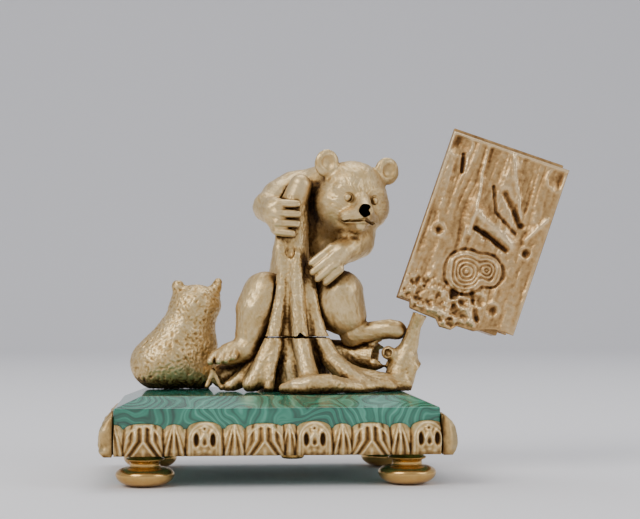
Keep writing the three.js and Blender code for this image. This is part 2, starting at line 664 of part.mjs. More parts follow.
function cubForm() {
  const trunk = blend(softness.cubBody, [
    ...[cub.haunch, cub.rightHaunch, cub.head].map(({ middle, radii }) => oval(middle, radii)),
    chain(cub.back), chain(cub.flank),
  ]);
  return blend(softness.cubLimb, [
    trunk, chain(cub.foreLeg), chain(cub.otherForeLeg), chain(cub.muzzle), ...cub.earTips.map(chain),
  ]);
}

// Leaf border: a bulging strip whose upper edge follows the leaves

// Height of the upper edge of a row of leaves, arches and tongues
function borderTop(along) {
  const { pitch, valley, peak } = border;
  const inPitch = ((along % pitch) + pitch) % pitch;
  const fromMotif = Math.abs(inPitch - pitch / 2);
  const fromTongue = Math.min(inPitch, pitch - inPitch);
  const isArch = Math.floor(along / pitch) % 2 === 1;
  const half = isArch ? 6.2 : 4.8;
  const motif = Math.sqrt(Math.max(0, 1 - (fromMotif / half) ** 2));
  const tongue = Math.sqrt(Math.max(0, 1 - (fromTongue / 2.4) ** 2));
  return valley + (peak - valley) * Math.max(motif, tongue * 0.62);
}

const ridge = (distance, width) => Math.exp(-((distance / width) ** 2));

// How far the carving stands out at a place along the strip and at a share of its height
function borderCarving(along, share) {
  const { pitch } = border;
  const inPitch = ((along % pitch) + pitch) % pitch - pitch / 2;
  const isArch = Math.floor(along / pitch) % 2 === 1;
  const fromTongue = pitch / 2 - Math.abs(inPitch);
  const tongue = ridge(fromTongue, 0.9) + 0.7 * ridge(fromTongue - 2.3, 0.6);
  const spread = Math.max(0, 0.62 - share) * 5.6;
  const leaf = ridge(Math.abs(inPitch) - spread, 0.55) + 0.8 * ridge(Math.abs(inPitch) - 4.4, 0.7);
  const hollow = -1.3 * ridge(Math.abs(inPitch) - 3.1, 1) * ridge(share - 0.38, 0.26);
  const pendant = 0.9 * ridge(inPitch, 1.2) * ridge(share - 0.42, 0.2);
  const arch = hollow + pendant + 0.9 * ridge(Math.abs(inPitch) - 5.2, 0.7) + 0.6 * ridge(share - 0.86, 0.08);
  return border.relief * (tongue + (isArch ? arch : leaf));
}

const borderProfile = [[0, 0.66], [0.12, 0.9], [0.28, 1], [0.5, 0.98], [0.72, 0.84], [0.86, 0.62], [1, 0.2]];

function bulgeAt(share) {
  const next = borderProfile.findIndex(([height]) => height >= share - 1e-9);
  if (next <= 0) return borderProfile[0][1];
  const [h0, b0] = borderProfile[next - 1];
  const [h1, b1] = borderProfile[next];
  return mix(b0, b1, (share - h0) / (h1 - h0));
}

// A closed panel between a modelled front and a flat back, on a grid of columns and rows
function panel(columns, rows, frontPoint, backPoint) {
  const points = [];
  const faces = [];
  const index = (side, i, j) => (side * (columns + 1) + i) * (rows + 1) + j;
  for (const pointAt of [frontPoint, backPoint]) {
    for (let i = 0; i <= columns; i++) {
      for (let j = 0; j <= rows; j++) points.push(pointAt(i / columns, j / rows));
    }
  }
  const quad = (a, b, c, d) => faces.push([a, b, c], [a, c, d]);
  for (let i = 0; i < columns; i++) {
    for (let j = 0; j < rows; j++) {
      quad(index(0, i, j), index(0, i + 1, j), index(0, i + 1, j + 1), index(0, i, j + 1));
      quad(index(1, i, j), index(1, i, j + 1), index(1, i + 1, j + 1), index(1, i + 1, j));
    }
    quad(index(0, i, 0), index(1, i, 0), index(1, i + 1, 0), index(0, i + 1, 0));
    quad(index(0, i, rows), index(0, i + 1, rows), index(1, i + 1, rows), index(1, i, rows));
  }
  for (let j = 0; j < rows; j++) {
    quad(index(0, 0, j), index(0, 0, j + 1), index(1, 0, j + 1), index(1, 0, j));
    quad(index(0, columns, j), index(1, columns, j), index(1, columns, j + 1), index(0, columns, j + 1));
  }
  return { points, faces };
}

// A strip along X with its flat back at y = 0 and its carving towards -Y
function stripGeometry(length, lift, { step, faces, care }) {
  const columns = Math.round(length / step);
  const rows = Math.round((border.peak + lift) / step);
  const frontPoint = (u, v) => {
    const along = u * length;
    const top = borderTop(along) + lift;
    const out = (border.bulge + borderCarving(along, v) - border.relief) * bulgeAt(v);
    return [along - length / 2, -out, top * v];
  };
  const backPoint = (u, v) => [u * length - length / 2, 0, (borderTop(u * length) + lift) * v];
  return geometryOf(simplify(panel(columns, rows, frontPoint, backPoint), faces, care));
}

// Match holder plates, in a frame whose origin is the middle of the front plate's outer face

// Lower edge of the front plate: straight, with a ragged lip where the branch joins it
function plateLowerEdge(across) {
  const lip = [
    [0, 0], [4.6, -0.2], [5.6, -2.8], [11.6, -3.2], [15.6, -3.4], [17.6, -5.6], [21.8, -5.4],
    [23.4, -3.4], [29.6, -3.2], [32.6, -1.5], [36.2, -0.2], [holder.width, 0],
  ];
  const next = lip.findIndex(([place]) => place >= across - 1e-9);
  if (next <= 0) return 0;
  const [a0, b0] = lip[next - 1];
  const [a1, b1] = lip[next];
  return mix(b0, b1, (across - a0) / (a1 - a0));
}

function fromLine(across, up, start, end) {
  const lengthSquared = (end[0] - start[0]) ** 2 + (end[1] - start[1]) ** 2;
  const along = (across - start[0]) * (end[0] - start[0]) + (up - start[1]) * (end[1] - start[1]);
  const t = clamp(along / lengthSquared, 0, 1);
  return Math.hypot(across - mix(start[0], end[0], t), up - mix(start[1], end[1], t));
}

function fromPath(across, up, path) {
  return Math.min(...path.slice(1).map((end, i) => fromLine(across, up, path[i], end)));
}

const burl = {
  grain: [[13.8, 61], [13.8, 48], [15.3, 37.4], [16.4, 29]],
  vein: [[22.1, 61], [26.5, 51], [31.4, 43.5], [34.6, 35], [42, 40.6]],
  hollow: [[23.9, 45.3], [31.5, 37.9]],
  slit: [[6.2, 55], [7.4, 49.4]],
  knob: [[19.6, 35.6], [23.4, 33.4], [27.4, 31]],
  hook: [[18.4, 31], [20.2, 27.4], [26.4, 26.6], [30.6, 29.6]],
  whorl: [20.7, 16.6], whorlRadius: 8.6, secondWhorl: [27.2, 18.4], secondRadius: 6,
  hollowBelow: [[21, 7], [27, 6]],
  barkRidge: [[5, 2], [12, 3], [20, 0]],
};

// Burl-wood relief of the front plate
function burlRelief(across, up) {
  const whorlReach = Math.hypot(across - burl.whorl[0], up - burl.whorl[1]);
  const secondReach = Math.hypot(across - burl.secondWhorl[0], up - burl.secondWhorl[1]);
  const dome = 1.1 * smoothstep(burl.whorlRadius, burl.whorlRadius - 3, whorlReach)
    + 0.5 * smoothstep(burl.secondRadius, burl.secondRadius - 2.5, secondReach);
  const rings = -0.6 * ridge(whorlReach - 6.4, 0.6) - 0.5 * ridge(whorlReach - 3.4, 0.6);
  return 0.4 * Math.sin(across * 0.5 + up * 0.16) + dome + rings
    + 0.9 * ridge(fromPath(across, up, burl.grain), 1)
    + 0.8 * ridge(fromPath(across, up, burl.vein), 1.1)
    + 1.7 * ridge(fromPath(across, up, burl.knob), 2.2)
    - 1.3 * ridge(fromPath(across, up, burl.hook), 0.9)
    - 1.5 * ridge(fromPath(across, up, burl.hollow), 1.3)
    - 1.2 * ridge(fromPath(across, up, burl.slit), 0.8)
    - 1.3 * ridge(fromPath(across, up, burl.hollowBelow), 1.9)
    + 0.9 * ridge(fromPath(across, up, burl.barkRidge), 1.4);
}

function frontPlateGeometry({ step, faces, care }) {
  const { width, height, frontThickness } = holder;
  const columns = Math.round(width / step);
  const rows = Math.round(height / step);
  const place = (u, v) => {
    const across = u * width;
    const low = plateLowerEdge(across);
    return [across, mix(low, height, v)];
  };
  const edgeFade = (across, up) => smoothstep(0, 1.5, Math.min(across, width - across, height - up));
  const frontPoint = (u, v) => {
    const [across, up] = place(u, v);
    return [across - width / 2, -burlRelief(across, up) * edgeFade(across, up), up - height / 2];
  };
  const backPoint = (u, v) => {
    const [across, up] = place(u, v);
    return [across - width / 2, frontThickness, up - height / 2];
  };
  return geometryOf(simplify(panel(columns, rows, frontPoint, backPoint), faces, care));
}

function backPlateGeometry() {
  const { height, frontThickness, clearGap, backThickness, backWidth, backRise } = holder;
  const { ledgeFrom, ledgeTo, ledgeDrop, ledgeOverlap, width } = holder;
  const inner = frontThickness + clearGap;
  const plate = new THREE.BoxGeometry(backWidth, backThickness, height + backRise);
  plate.translate(0, inner + backThickness / 2, backRise / 2);
  const ledgeDepth = clearGap - gap + backThickness / 2;
  const ledge = new THREE.BoxGeometry(ledgeTo - ledgeFrom, ledgeDepth, ledgeDrop);
  ledge.translate(
    (ledgeFrom + ledgeTo - width) / 2,
    frontThickness + gap + ledgeDepth / 2,
    -height / 2 - ledgeDrop / 2 + ledgeOverlap,
  );
  const [plateSolid, ledgeSolid] = [plate, ledge].map((geometry) => {
    geometry.deleteAttribute('normal');
    geometry.deleteAttribute('uv');
    return solidOf(mergeVertices(geometry, 1e-4));
  });
  return geometryFrom(plateSolid.add(ledgeSolid));
}

// Slab, feet and nut

function slabGeometry() {
  const { width, depth, bottom, shoulder, top, bevel } = slab;
  const ring = (halfWidth, halfDepth, z) => [
    [-halfWidth, -halfDepth, z], [halfWidth, -halfDepth, z],
    [halfWidth, halfDepth, z], [-halfWidth, halfDepth, z],
  ];
  const points = [
    ...ring(width / 2, depth / 2, bottom), ...ring(width / 2, depth / 2, shoulder),
    ...ring(width / 2 - bevel, depth / 2 - bevel, top),
  ];
  const faces = [[0, 2, 1], [0, 3, 2], [8, 9, 10], [8, 10, 11]];
  for (const level of [0, 4]) {
    for (let i = 0; i < 4; i++) {
      const next = (i + 1) % 4;
      faces.push([level + i, level + next, level + 4 + next], [level + i, level + 4 + next, level + 4 + i]);
    }
  }
  return geometryOf({ points, faces });
}

function turned(profile, sides) {
  const points = profile.map(([radius, height]) => new THREE.Vector2(radius, height));
  return new THREE.LatheGeometry(points, sides).rotateX(Math.PI / 2);
}

function footGeometry() {
  const { bunRadius, flatRadius, widest, bunTop, neckRadius, ringHeight, sides } = foot;
  const top = slab.bottom - gap;
  const lower = [28, 60].map((angle) => {
    const out = Math.sin(angle * degrees);
    return [mix(flatRadius, bunRadius, out), widest * (1 - Math.cos(angle * degrees))];
  });
  const upper = [35, 72].map((angle) => {
    const out = Math.cos(angle * degrees);
    return [mix(neckRadius, bunRadius, out), mix(widest, bunTop, Math.sin(angle * degrees))];
  });
  return turned([
    [0, 0], [flatRadius, 0], ...lower, [bunRadius, widest], ...upper,
    [neckRadius, bunTop + ringHeight], [neckRadius, top], [0, top],
  ], sides);
}

function nutGeometry() {
  const { radius, height, edge, sides } = nut;
  const top = slab.bottom - gap;
  const bottom = top - height;
  return turned([[0, bottom], [radius - edge, bottom], [radius, bottom + edge], [radius, top], [0, top]], sides);
}

// Finishes

const gilt = () => new THREE.MeshStandardMaterial({ color: 0xc9a866, roughness: 0.5, metalness: 0.9 });
const darkGilt = () => new THREE.MeshStandardMaterial({ color: 0xb0824a, roughness: 0.55, metalness: 0.85 });
const turnedGilt = () => new THREE.MeshStandardMaterial({ color: 0xc08f3e, roughness: 0.3, metalness: 0.95 });
const malachite = () => new THREE.MeshStandardMaterial({ color: 0x1f7a56, roughness: 0.15, metalness: 0 });

// Assembly

const group = new THREE.Group();

function addMesh(parent, name, geometry, material, position = [0, 0, 0]) {
  const mesh = new THREE.Mesh(geometry, material);
  mesh.name = name;
  mesh.position.set(...position);
  parent.add(mesh);
  return mesh;
}

addMesh(group, 'malachite_slab', slabGeometry(), malachite());

const sideLength = slab.depth + 2 * border.bulge + 2 * gap;
const sideLift = border.sideTop - border.peak;
const frontLength = slab.width - 2 * gap;
const strips = [
  ['border_strip_front', frontLength, 0, detail.frontStrip, [0, -slab.depth / 2 - gap], 0],
  ['border_strip_back', frontLength, 0, detail.backStrip, [0, slab.depth / 2 + gap], Math.PI],
  ['border_strip_left', sideLength, sideLift, detail.sideStrip, [-slab.width / 2 - gap, 0], -Math.PI / 2],
  ['border_strip_right', sideLength, sideLift, detail.sideStrip, [slab.width / 2 + gap, 0], Math.PI / 2],
];
for (const [name, length, lift, amount, [x, y], turn] of strips) {
  const strip = addMesh(group, name, stripGeometry(length, lift, amount), gilt(), [x, y, slab.bottom]);
  strip.rotation.z = turn;
}

for (const [depthName, ySide] of [['front', -1], ['back', 1]]) {
  for (const [sideName, xSide] of [['left', -1], ['right', 1]]) {
    const name = `bun_foot_${depthName}_${sideName}`;
    addMesh(group, name, footGeometry(), turnedGilt(), [xSide * foot.x, ySide * foot.y, 0]);
  }
}
addMesh(group, 'fixing_nut', nutGeometry(), turnedGilt(), [nut.x, nut.y, 0]);

const leanAxis = [Math.sin(holder.lean * degrees), 0, Math.cos(holder.lean * degrees)];
const plateFoot = dot(leanAxis, holder.middle) - holder.height / 2 - holder.lipReach - gap;

// The branch rises past the seam and ends under the plate; above the seam all else is the trunk's
function partedTree(whole) {
  const standing = whole.trimByPlane([0, 0, 1], slab.top + gap);
  const upper = standing.trimByPlane([0, 0, 1], seamHeight + gap / 2);
  const lower = standing.trimByPlane([0, 0, -1], -(seamHeight - gap / 2));
  const isBranch = (body) => body.boundingBox().min[0] > holder.ledgeTo;
  const branchTop = standing.trimByPlane([0, 0, 1], seamHeight - gap / 2).decompose().find(isBranch);
  const shortened = branchTop.trimByPlane(leanAxis.map((value) => -value), -plateFoot);
  const [trunk] = largestFirst(upper.decompose().filter((body) => !isBranch(body)));
  return { roots: mainBody(lower.add(shortened)), trunk };
}

const tree = treeForm();
const { roots: rootSolid, trunk: trunkSolid } = partedTree(simplified(tree, detail.tree));
addMesh(group, 'tree_roots', geometryFrom(rootSolid), gilt());
addMesh(group, 'tree_trunk', geometryFrom(trunkSolid), gilt());

const bearSolid = simplified(bearForm(tree), detail.bear);
addMesh(group, 'bear', geometryFrom(mainBody(bearSolid)), gilt());

const cubSolid = simplified(cubForm(), detail.cub);
addMesh(group, 'cub', geometryFrom(keepAbove(cubSolid, [0, 0, 1], slab.top + groundLift)), gilt());

const leaning = new THREE.Group();
leaning.position.set(...holder.middle);
leaning.rotation.y = holder.lean * degrees;
const turning = new THREE.Group();
turning.rotation.z = -holder.turn * degrees;
leaning.add(turning);
group.add(leaning);
addMesh(turning, 'matchbox_front_plate', frontPlateGeometry(detail.frontPlate), darkGilt());
addMesh(turning, 'matchbox_back_plate', backPlateGeometry(), darkGilt());

group.updateMatrixWorld(true);
const bounds = new THREE.Box3().setFromObject(group, true);
group.position.set(-(bounds.min.x + bounds.max.x) / 2, -(bounds.min.y + bounds.max.y) / 2, -bounds.min.z);
group.updateMatrixWorld(true);

export default group;
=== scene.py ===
import math

import bmesh
import bpy
import numpy as np
from mathutils import Matrix, Vector, kdtree


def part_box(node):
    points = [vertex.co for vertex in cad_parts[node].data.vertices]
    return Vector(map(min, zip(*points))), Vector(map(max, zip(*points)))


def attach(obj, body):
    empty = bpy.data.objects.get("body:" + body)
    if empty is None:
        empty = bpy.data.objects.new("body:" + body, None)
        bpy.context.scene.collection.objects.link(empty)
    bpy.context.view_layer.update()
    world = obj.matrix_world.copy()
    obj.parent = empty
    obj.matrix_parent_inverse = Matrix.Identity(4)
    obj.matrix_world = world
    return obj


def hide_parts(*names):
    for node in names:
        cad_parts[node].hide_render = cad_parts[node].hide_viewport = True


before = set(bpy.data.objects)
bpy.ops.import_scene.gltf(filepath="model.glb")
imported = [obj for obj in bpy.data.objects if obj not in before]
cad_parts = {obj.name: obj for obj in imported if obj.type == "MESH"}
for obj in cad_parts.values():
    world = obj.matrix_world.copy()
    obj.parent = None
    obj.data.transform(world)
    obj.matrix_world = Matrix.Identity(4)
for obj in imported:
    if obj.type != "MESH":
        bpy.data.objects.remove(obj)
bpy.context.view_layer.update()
print("frame loaded with", len(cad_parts), "nodes")

# Shapes are worked out in mm from the middle of the base at table height, with +Y away from the viewer.
# toRow brings them into the frame, whose origin is the middle of the whole object's box.
slabLow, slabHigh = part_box("malachite_slab")
baseMiddle = np.array([(slabLow.x + slabHigh.x) / 2, (slabLow.y + slabHigh.y) / 2, 0.0])


def toRow(points):
    return np.asarray(points, float) * 0.001 + baseMiddle


# ---------------------------------------------------------------- camera, lights and floor
view = {"place": (-26, -535.2, 62.2), "turn": 4.57, "tilt": 1.55, "focal": 84.375}
studio = {
    "room": (0.93, 0.94, 1.0), "roomLight": 0.62,
    "floor": (0.84, 0.835, 0.85), "floorBack": 1.3, "floorCurve": 0.7,
    "lamps": [  # place in m, size in m, watts, colour
        ((-0.75, -0.75, 0.95), 0.8, 9.5, (1.0, 0.97, 0.93)),
        ((0.95, -0.55, 0.6), 0.7, 3.2, (0.95, 0.97, 1.0)),
        ((0.1, 0.35, 1.15), 0.9, 4.5, (1.0, 1.0, 1.0)),
    ],
}


def addCamera():
    turn, tilt = math.radians(view["turn"]), math.radians(view["tilt"])
    aim = Vector((math.sin(turn) * math.cos(tilt), math.cos(turn) * math.cos(tilt), math.sin(tilt)))
    lens = bpy.data.cameras.new("viewCamera")
    lens.lens, lens.sensor_width, lens.clip_start = view["focal"], 36, 0.01
    camera = bpy.data.objects.new("viewCamera", lens)
    camera.location = toRow(view["place"])
    camera.rotation_euler = aim.to_track_quat("-Z", "Y").to_euler()
    bpy.context.scene.collection.objects.link(camera)
    bpy.context.scene.camera = camera


def addLamps():
    for number, (place, size, watts, colour) in enumerate(studio["lamps"]):
        lamp = bpy.data.lights.new(f"softLamp{number}", "AREA")
        lamp.shape, lamp.size, lamp.energy, lamp.color = "DISK", size, watts, colour
        holder = bpy.data.objects.new(lamp.name, lamp)
        holder.location = place
        holder.rotation_euler = (Vector((0, 0, 0.05)) - Vector(place)).to_track_quat("-Z", "Y").to_euler()
        bpy.context.scene.collection.objects.link(holder)
    world = bpy.data.worlds.new("paleRoom")
    world.use_nodes = True
    room = world.node_tree.nodes["Background"]
    room.inputs["Color"].default_value = (*studio["room"], 1)
    room.inputs["Strength"].default_value = studio["roomLight"]
    bpy.context.scene.world = world


def addFloor():
    # a sheet that lies flat and curves up behind the object
    back, curve = studio["floorBack"], studio["floorCurve"]
    profile = [(-2.5, 0.0)] + [
        (back + curve * math.sin(a), curve * (1 - math.cos(a))) for a in np.linspace(0, math.pi / 2, 24)
    ] + [(back + curve, 3.0)]
    points = [(x, y, z - 0.0001) for y, z in profile for x in (-4, 4)]
    faces = [(2 * i, 2 * i + 1, 2 * i + 3, 2 * i + 2) for i in range(len(profile) - 1)]
    mesh = bpy.data.meshes.new("paleFloor")
    mesh.from_pydata(points, [], faces)
    mesh.polygons.foreach_set("use_smooth", [True] * len(faces))
    floor = bpy.data.objects.new("paleFloor", mesh)
    bpy.context.scene.collection.objects.link(floor)
    material = bpy.data.materials.new("palePaper")
    material.use_nodes = True
    shader = material.node_tree.nodes["Principled BSDF"]
    shader.inputs["Base Color"].default_value = (*studio["floor"], 1)
    shader.inputs["Roughness"].default_value = 0.85
    shader.inputs["Specular IOR Level"].default_value = 0.2
    mesh.materials.append(material)


# ---------------------------------------------------------------- forms as distances in mm, negative inside
def ball(middle, radius):
    middle = np.array(middle, float)

    def form(p):
        d = p - middle
        return np.sqrt(np.einsum("ij,ij->i", d, d)) - radius
    return form


def oval(middle, radii):
    middle, radii = np.array(middle, float), np.array(radii, float)

    def form(p):
        d = (p - middle) / radii
        reach = np.sqrt(np.einsum("ij,ij->i", d, d))
        e = d / radii
        return reach * (reach - 1) / (np.sqrt(np.einsum("ij,ij->i", e, e)) + 1e-9)
    return form


def limb(start, startRadius, end, endRadius):
    start, end = np.array(start[:3], float), np.array(end[:3], float)
    line = end - start
    lengthSquared = line @ line

    def form(p):
        d = p - start
        t = np.clip(d @ line / lengthSquared, 0, 1)
        d = d - t[:, None] * line
        return np.sqrt(np.einsum("ij,ij->i", d, d)) - (startRadius + (endRadius - startRadius) * t)
    return form


def chain(stations):
    limbs = [limb(a, a[3], b, b[3]) for a, b in zip(stations, stations[1:])]
    return lambda p: np.minimum.reduce([form(p) for form in limbs])


def softMin(a, b, softness):
    h = np.maximum(softness - np.abs(a - b), 0) / softness
    return np.minimum(a, b) - h * h * softness * 0.25


def blend(softness, forms):
    def form(p):
        nearest = forms[0](p)
        for other in forms[1:]:
            nearest = softMin(nearest, other(p), softness)
        return nearest
    return form


def carve(softness, body, cutters):
    def form(p):
        depth = body(p)
        for cutter in cutters:
            depth = -softMin(-depth, cutter(p), softness)
        return depth
    return form


def halfSpace(point, normal):
    point, normal = np.array(point, float), np.array(normal, float)
    return lambda p: (p - point) @ normal


def within(body, *limits):
    return lambda p: np.maximum.reduce([body(p)] + [limit(p) for limit in limits])


def inFrame(placed, form):
    axes = np.array([placed["right"], placed["forward"], placed["up"]])
    origin = np.array(placed["origin"], float)
    return lambda p: form((p - origin) @ axes.T)


def headFrame(origin, turn, nod, lean):
    turn, nod, lean = (math.radians(a) for a in (turn, nod, lean))
    right = np.array([math.cos(turn), math.sin(turn), 0])
    forward = np.array([
        math.sin(turn) * math.cos(nod), -math.cos(turn) * math.cos(nod), -math.sin(nod),
    ])
    up = np.cross(forward, right) * -1
    if up[2] < 0:
        up = -up
    leaning = up * math.cos(lean) + right * math.sin(lean)
    return {
        "origin": origin, "forward": forward, "up": leaning,
        "right": right * math.cos(lean) - up * math.sin(lean),
    }


def evaluate(form, points, share=40000):
    return np.concatenate([form(points[i:i + share]) for i in range(0, len(points), share)])


latticeValues = np.random.default_rng(11).random((32, 32, 32))


def softNoise(points, size, offset=0.0):
    # smooth noise from 0 to 1 in lumps of the given size in mm, or of a size for each axis
    q = points / size + offset
    cell = np.floor(q).astype(int)
    t = q - cell
    t = t * t * (3 - 2 * t)
    total = np.zeros(len(points))
    for corner in np.ndindex(2, 2, 2):
        weight = np.prod([t[:, a] if corner[a] else 1 - t[:, a] for a in range(3)], axis=0)
        at = [(cell[:, a] + corner[a]) % 32 for a in range(3)]
        total += weight * latticeValues[at[0], at[1], at[2]]
    return total


# ---------------------------------------------------------------- meshes from forms
def surfaceOf(form, low, high, step, block=5):
    low, high = np.array(low, float), np.array(high, float)
    blocks = np.ceil((high - low) / (step * block)).astype(int)
    count = blocks * block
    middles = np.stack(np.meshgrid(*[np.arange(b) * block + (block - 1) / 2 for b in blocks], indexing="ij"), -1)
    rough = evaluate(form, low + step * middles.reshape(-1, 3)).reshape(blocks)
    values = rough.repeat(block, 0).repeat(block, 1).repeat(block, 2)
    near = np.argwhere(np.abs(rough) < block * step * 0.95)
    inBlock = np.stack(np.meshgrid(*[np.arange(block)] * 3, indexing="ij"), -1).reshape(-1, 3)
    fine = (near[:, None, :] * block + inBlock).reshape(-1, 3)
    values[fine[:, 0], fine[:, 1], fine[:, 2]] = evaluate(form, low + step * fine)

    inside = values < 0
    size = count - 1
    full = np.zeros(size, np.int8)
    for c in np.ndindex(2, 2, 2):
        full += inside[c[0]:c[0] + size[0], c[1]:c[1] + size[1], c[2]:c[2] + size[2]]
    cells = np.argwhere((full > 0) & (full < 8))
    number = np.full(size, -1)
    number[cells[:, 0], cells[:, 1], cells[:, 2]] = np.arange(len(cells))

    total, hits = np.zeros((len(cells), 3)), np.zeros(len(cells))
    for axis in range(3):
        unit = np.eye(3, dtype=int)[axis]
        others = [np.eye(3, dtype=int)[a] for a in range(3) if a != axis]
        for i, j in np.ndindex(2, 2):
            start = cells + i * others[0] + j * others[1]
            end = start + unit
            a = values[start[:, 0], start[:, 1], start[:, 2]]
            b = values[end[:, 0], end[:, 1], end[:, 2]]
            crossed = (a < 0) != (b < 0)
            t = np.where(crossed, a / np.where(crossed, a - b, 1), 0)
            total += crossed[:, None] * (start - cells + t[:, None] * unit)
            hits += crossed
    points = low + step * (cells + total / hits[:, None])

    quads = []
    for axis in range(3):
        unit = np.eye(3, dtype=int)[axis]
        u, v = np.eye(3, dtype=int)[(axis + 1) % 3], np.eye(3, dtype=int)[(axis + 2) % 3]
        here = inside[tuple(slice(0, count[a] - unit[a]) for a in range(3))]
        there = inside[tuple(slice(unit[a], count[a]) for a in range(3))]
        edges = np.argwhere(here != there)
        edges = edges[np.all((edges - u - v >= 0) & (edges < size), axis=1)]
        ring = np.stack([number[tuple((edges - s).T)] for s in (0 * u, u, u + v, v)], 1)
        outward = here[tuple(edges.T)]
        ring[~outward] = ring[~outward][:, ::-1]
        quads.append(ring)
    return points, np.concatenate(quads)


def largestBody(points, quads):
    label = np.arange(len(points))
    while True:
        lowest = label[quads].min(1)
        changed = label.copy()
        for corner in range(4):
            np.minimum.at(changed, quads[:, corner], lowest)
        changed = changed[changed]
        if (changed == label).all():
            break
        label = changed
    kept = label == np.bincount(label).argmax()
    renumber = np.cumsum(kept) - 1
    return points[kept], renumber[quads[kept[quads[:, 0]]]]


def meshOf(name, points, faces):
    mesh = bpy.data.meshes.new(name)
    mesh.from_pydata(points.tolist(), [], faces.tolist())
    return mesh


def pointsOf(mesh):
    flat = np.zeros(len(mesh.vertices) * 3, np.float32)
    mesh.vertices.foreach_get("co", flat)
    return flat.reshape(-1, 3).astype(float)


def setPoints(mesh, points):
    mesh.vertices.foreach_set("co", points.astype(np.float32).ravel())
    mesh.update()


def normalsOf(mesh):
    flat = np.zeros(len(mesh.vertices) * 3, np.float32)
    mesh.vertex_normals.foreach_get("vector", flat)
    return flat.reshape(-1, 3).astype(float)


def refineNear(mesh, spots):
    # every edge that lies in a spot (middle, reach) is split once
    work = bmesh.new()
    work.from_mesh(mesh)
    places = [(Vector(middle), reach) for middle, reach in spots]
    edges = [
        edge for edge in work.edges
        if any((edge.verts[0].co - middle).length < reach for middle, reach in places)
    ]
    bmesh.ops.subdivide_edges(work, edges=edges, cuts=1, use_grid_fill=True)
    work.to_mesh(mesh)
    work.free()


def settle(mesh, form, rounds=2):
    for _ in range(rounds):
        points = pointsOf(mesh)
        push = np.clip(evaluate(form, points), -0.4, 0.4)
        setPoints(mesh, points - push[:, None] * normalsOf(mesh))


def modelled(name, form, low, high, step, spots=()):
    points, quads = largestBody(*surfaceOf(form, low, high, step))
    mesh = meshOf(name, points, quads)
    if spots:
        refineNear(mesh, spots)
    settle(mesh, form)
    return mesh


def smoothstep(low, high, value):
    t = np.clip((value - low) / (high - low), 0, 1)
    return t * t * (3 - 2 * t)


def openness(points, normals, forms, reaches=(1.0, 3.0, 7.0)):
    # 1 where a place is free all round, 0 deep in a fold
    total = np.zeros(len(points))
    for reach in reaches:
        probe = points + normals * reach
        nearest = np.minimum.reduce([evaluate(form, probe) for form in forms])
        total += np.clip(nearest / reach, 0, 1)
    return total / len(reaches)


# Strokes that the chaser's punch leaves: each is a low ridge that lies along the flow of the hair or bark
def strokeRelief(points, normals, flow, look):
    random = np.random.default_rng(look["seed"])
    order = random.permutation(len(points))
    key = np.floor(points[order] / look["spacing"]).astype(int) @ np.array([1, 4096, 4096 * 4096])
    chosen = order[np.unique(key, return_index=True)[1]]
    sway = random.normal(0, look["sway"], len(chosen))[:, None]
    length = look["length"] * random.uniform(0.7, 1.25, len(chosen)) / 2
    width = look["width"] * random.uniform(0.75, 1.2, len(chosen)) / 2
    curl = random.normal(0, look["curl"], len(chosen))
    lift = random.uniform(0.55, 1.0, len(chosen))
    normal = normals[chosen]
    along = flow[chosen] * np.cos(sway) + np.cross(normal, flow[chosen]) * np.sin(sway)
    across = np.cross(normal, along)

    tree = kdtree.KDTree(len(points))
    for i, place in enumerate(points.tolist()):
        tree.insert(place, i)
    tree.balance()
    reach = look["length"] * 0.6
    found = [[hit[1] for hit in tree.find_range(place, reach)] for place in points[chosen].tolist()]
    which = np.repeat(np.arange(len(chosen)), [len(hits) for hits in found])
    near = np.concatenate([np.array(hits, int) for hits in found])
    offset = points[near] - points[chosen][which]
    a = np.einsum("ij,ij->i", offset, along[which]) / length[which]
    b = np.einsum("ij,ij->i", offset, across[which]) - curl[which] * (a * a - 0.3)
    facing = np.einsum("ij,ij->i", normals[near], normal[which]) > 0.25
    taper = np.sqrt(np.clip(1 - a * a, 0, 1)) * (0.8 + 0.3 * a)
    body = np.clip(1 - (b / (width[which] * (1 - 0.25 * a))) ** 2, 0, 1)
    height = lift[which] * taper * body * facing
    result = np.zeros(len(points))
    np.maximum.at(result, near, height)
    return result


def flowAlong(points, normals, lines):
    total = np.zeros_like(points)
    for start, end in lines:
        start, end = np.array(start[:3], float), np.array(end[:3], float)
        line = end - start
        t = np.clip((points - start) @ line / (line @ line), 0, 1)
        distance = np.linalg.norm(points - start - t[:, None] * line, axis=1) + 0.5
        total += line / np.linalg.norm(line) / distance[:, None] ** 3
    total -= np.einsum("ij,ij->i", total, normals)[:, None] * normals
    return total / (np.linalg.norm(total, axis=1)[:, None] + 1e-9)


def linesOf(*chains):
    return [(a, b) for stations in chains for a, b in zip(stations, stations[1:])]


def fadeNear(points, spots):
    # 0 in the middle of each spot, 1 outside all of them
    fade = np.ones(len(points))
    for middle, reach in spots:
        fade *= smoothstep(0.55 * reach, reach, np.linalg.norm(points - np.array(middle, float), axis=1))
    return fade


def addPiece(name, mesh, node, material, shades=None):
    setPoints(mesh, toRow(pointsOf(mesh)))
    for key, values in (shades or {}).items():
        layer = mesh.attributes.new(key, "FLOAT", "POINT")
        layer.data.foreach_set("value", values.astype(np.float32))
    mesh.materials.clear()
    mesh.materials.append(material)
    piece = bpy.data.objects.new(name, mesh)
    bpy.context.scene.collection.objects.link(piece)
    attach(piece, "root")
    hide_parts(node)
    print(name, "made:", len(mesh.vertices), "points")
    return piece


def smoothShading(mesh):
    mesh.polygons.foreach_set("use_smooth", [True] * len(mesh.polygons))


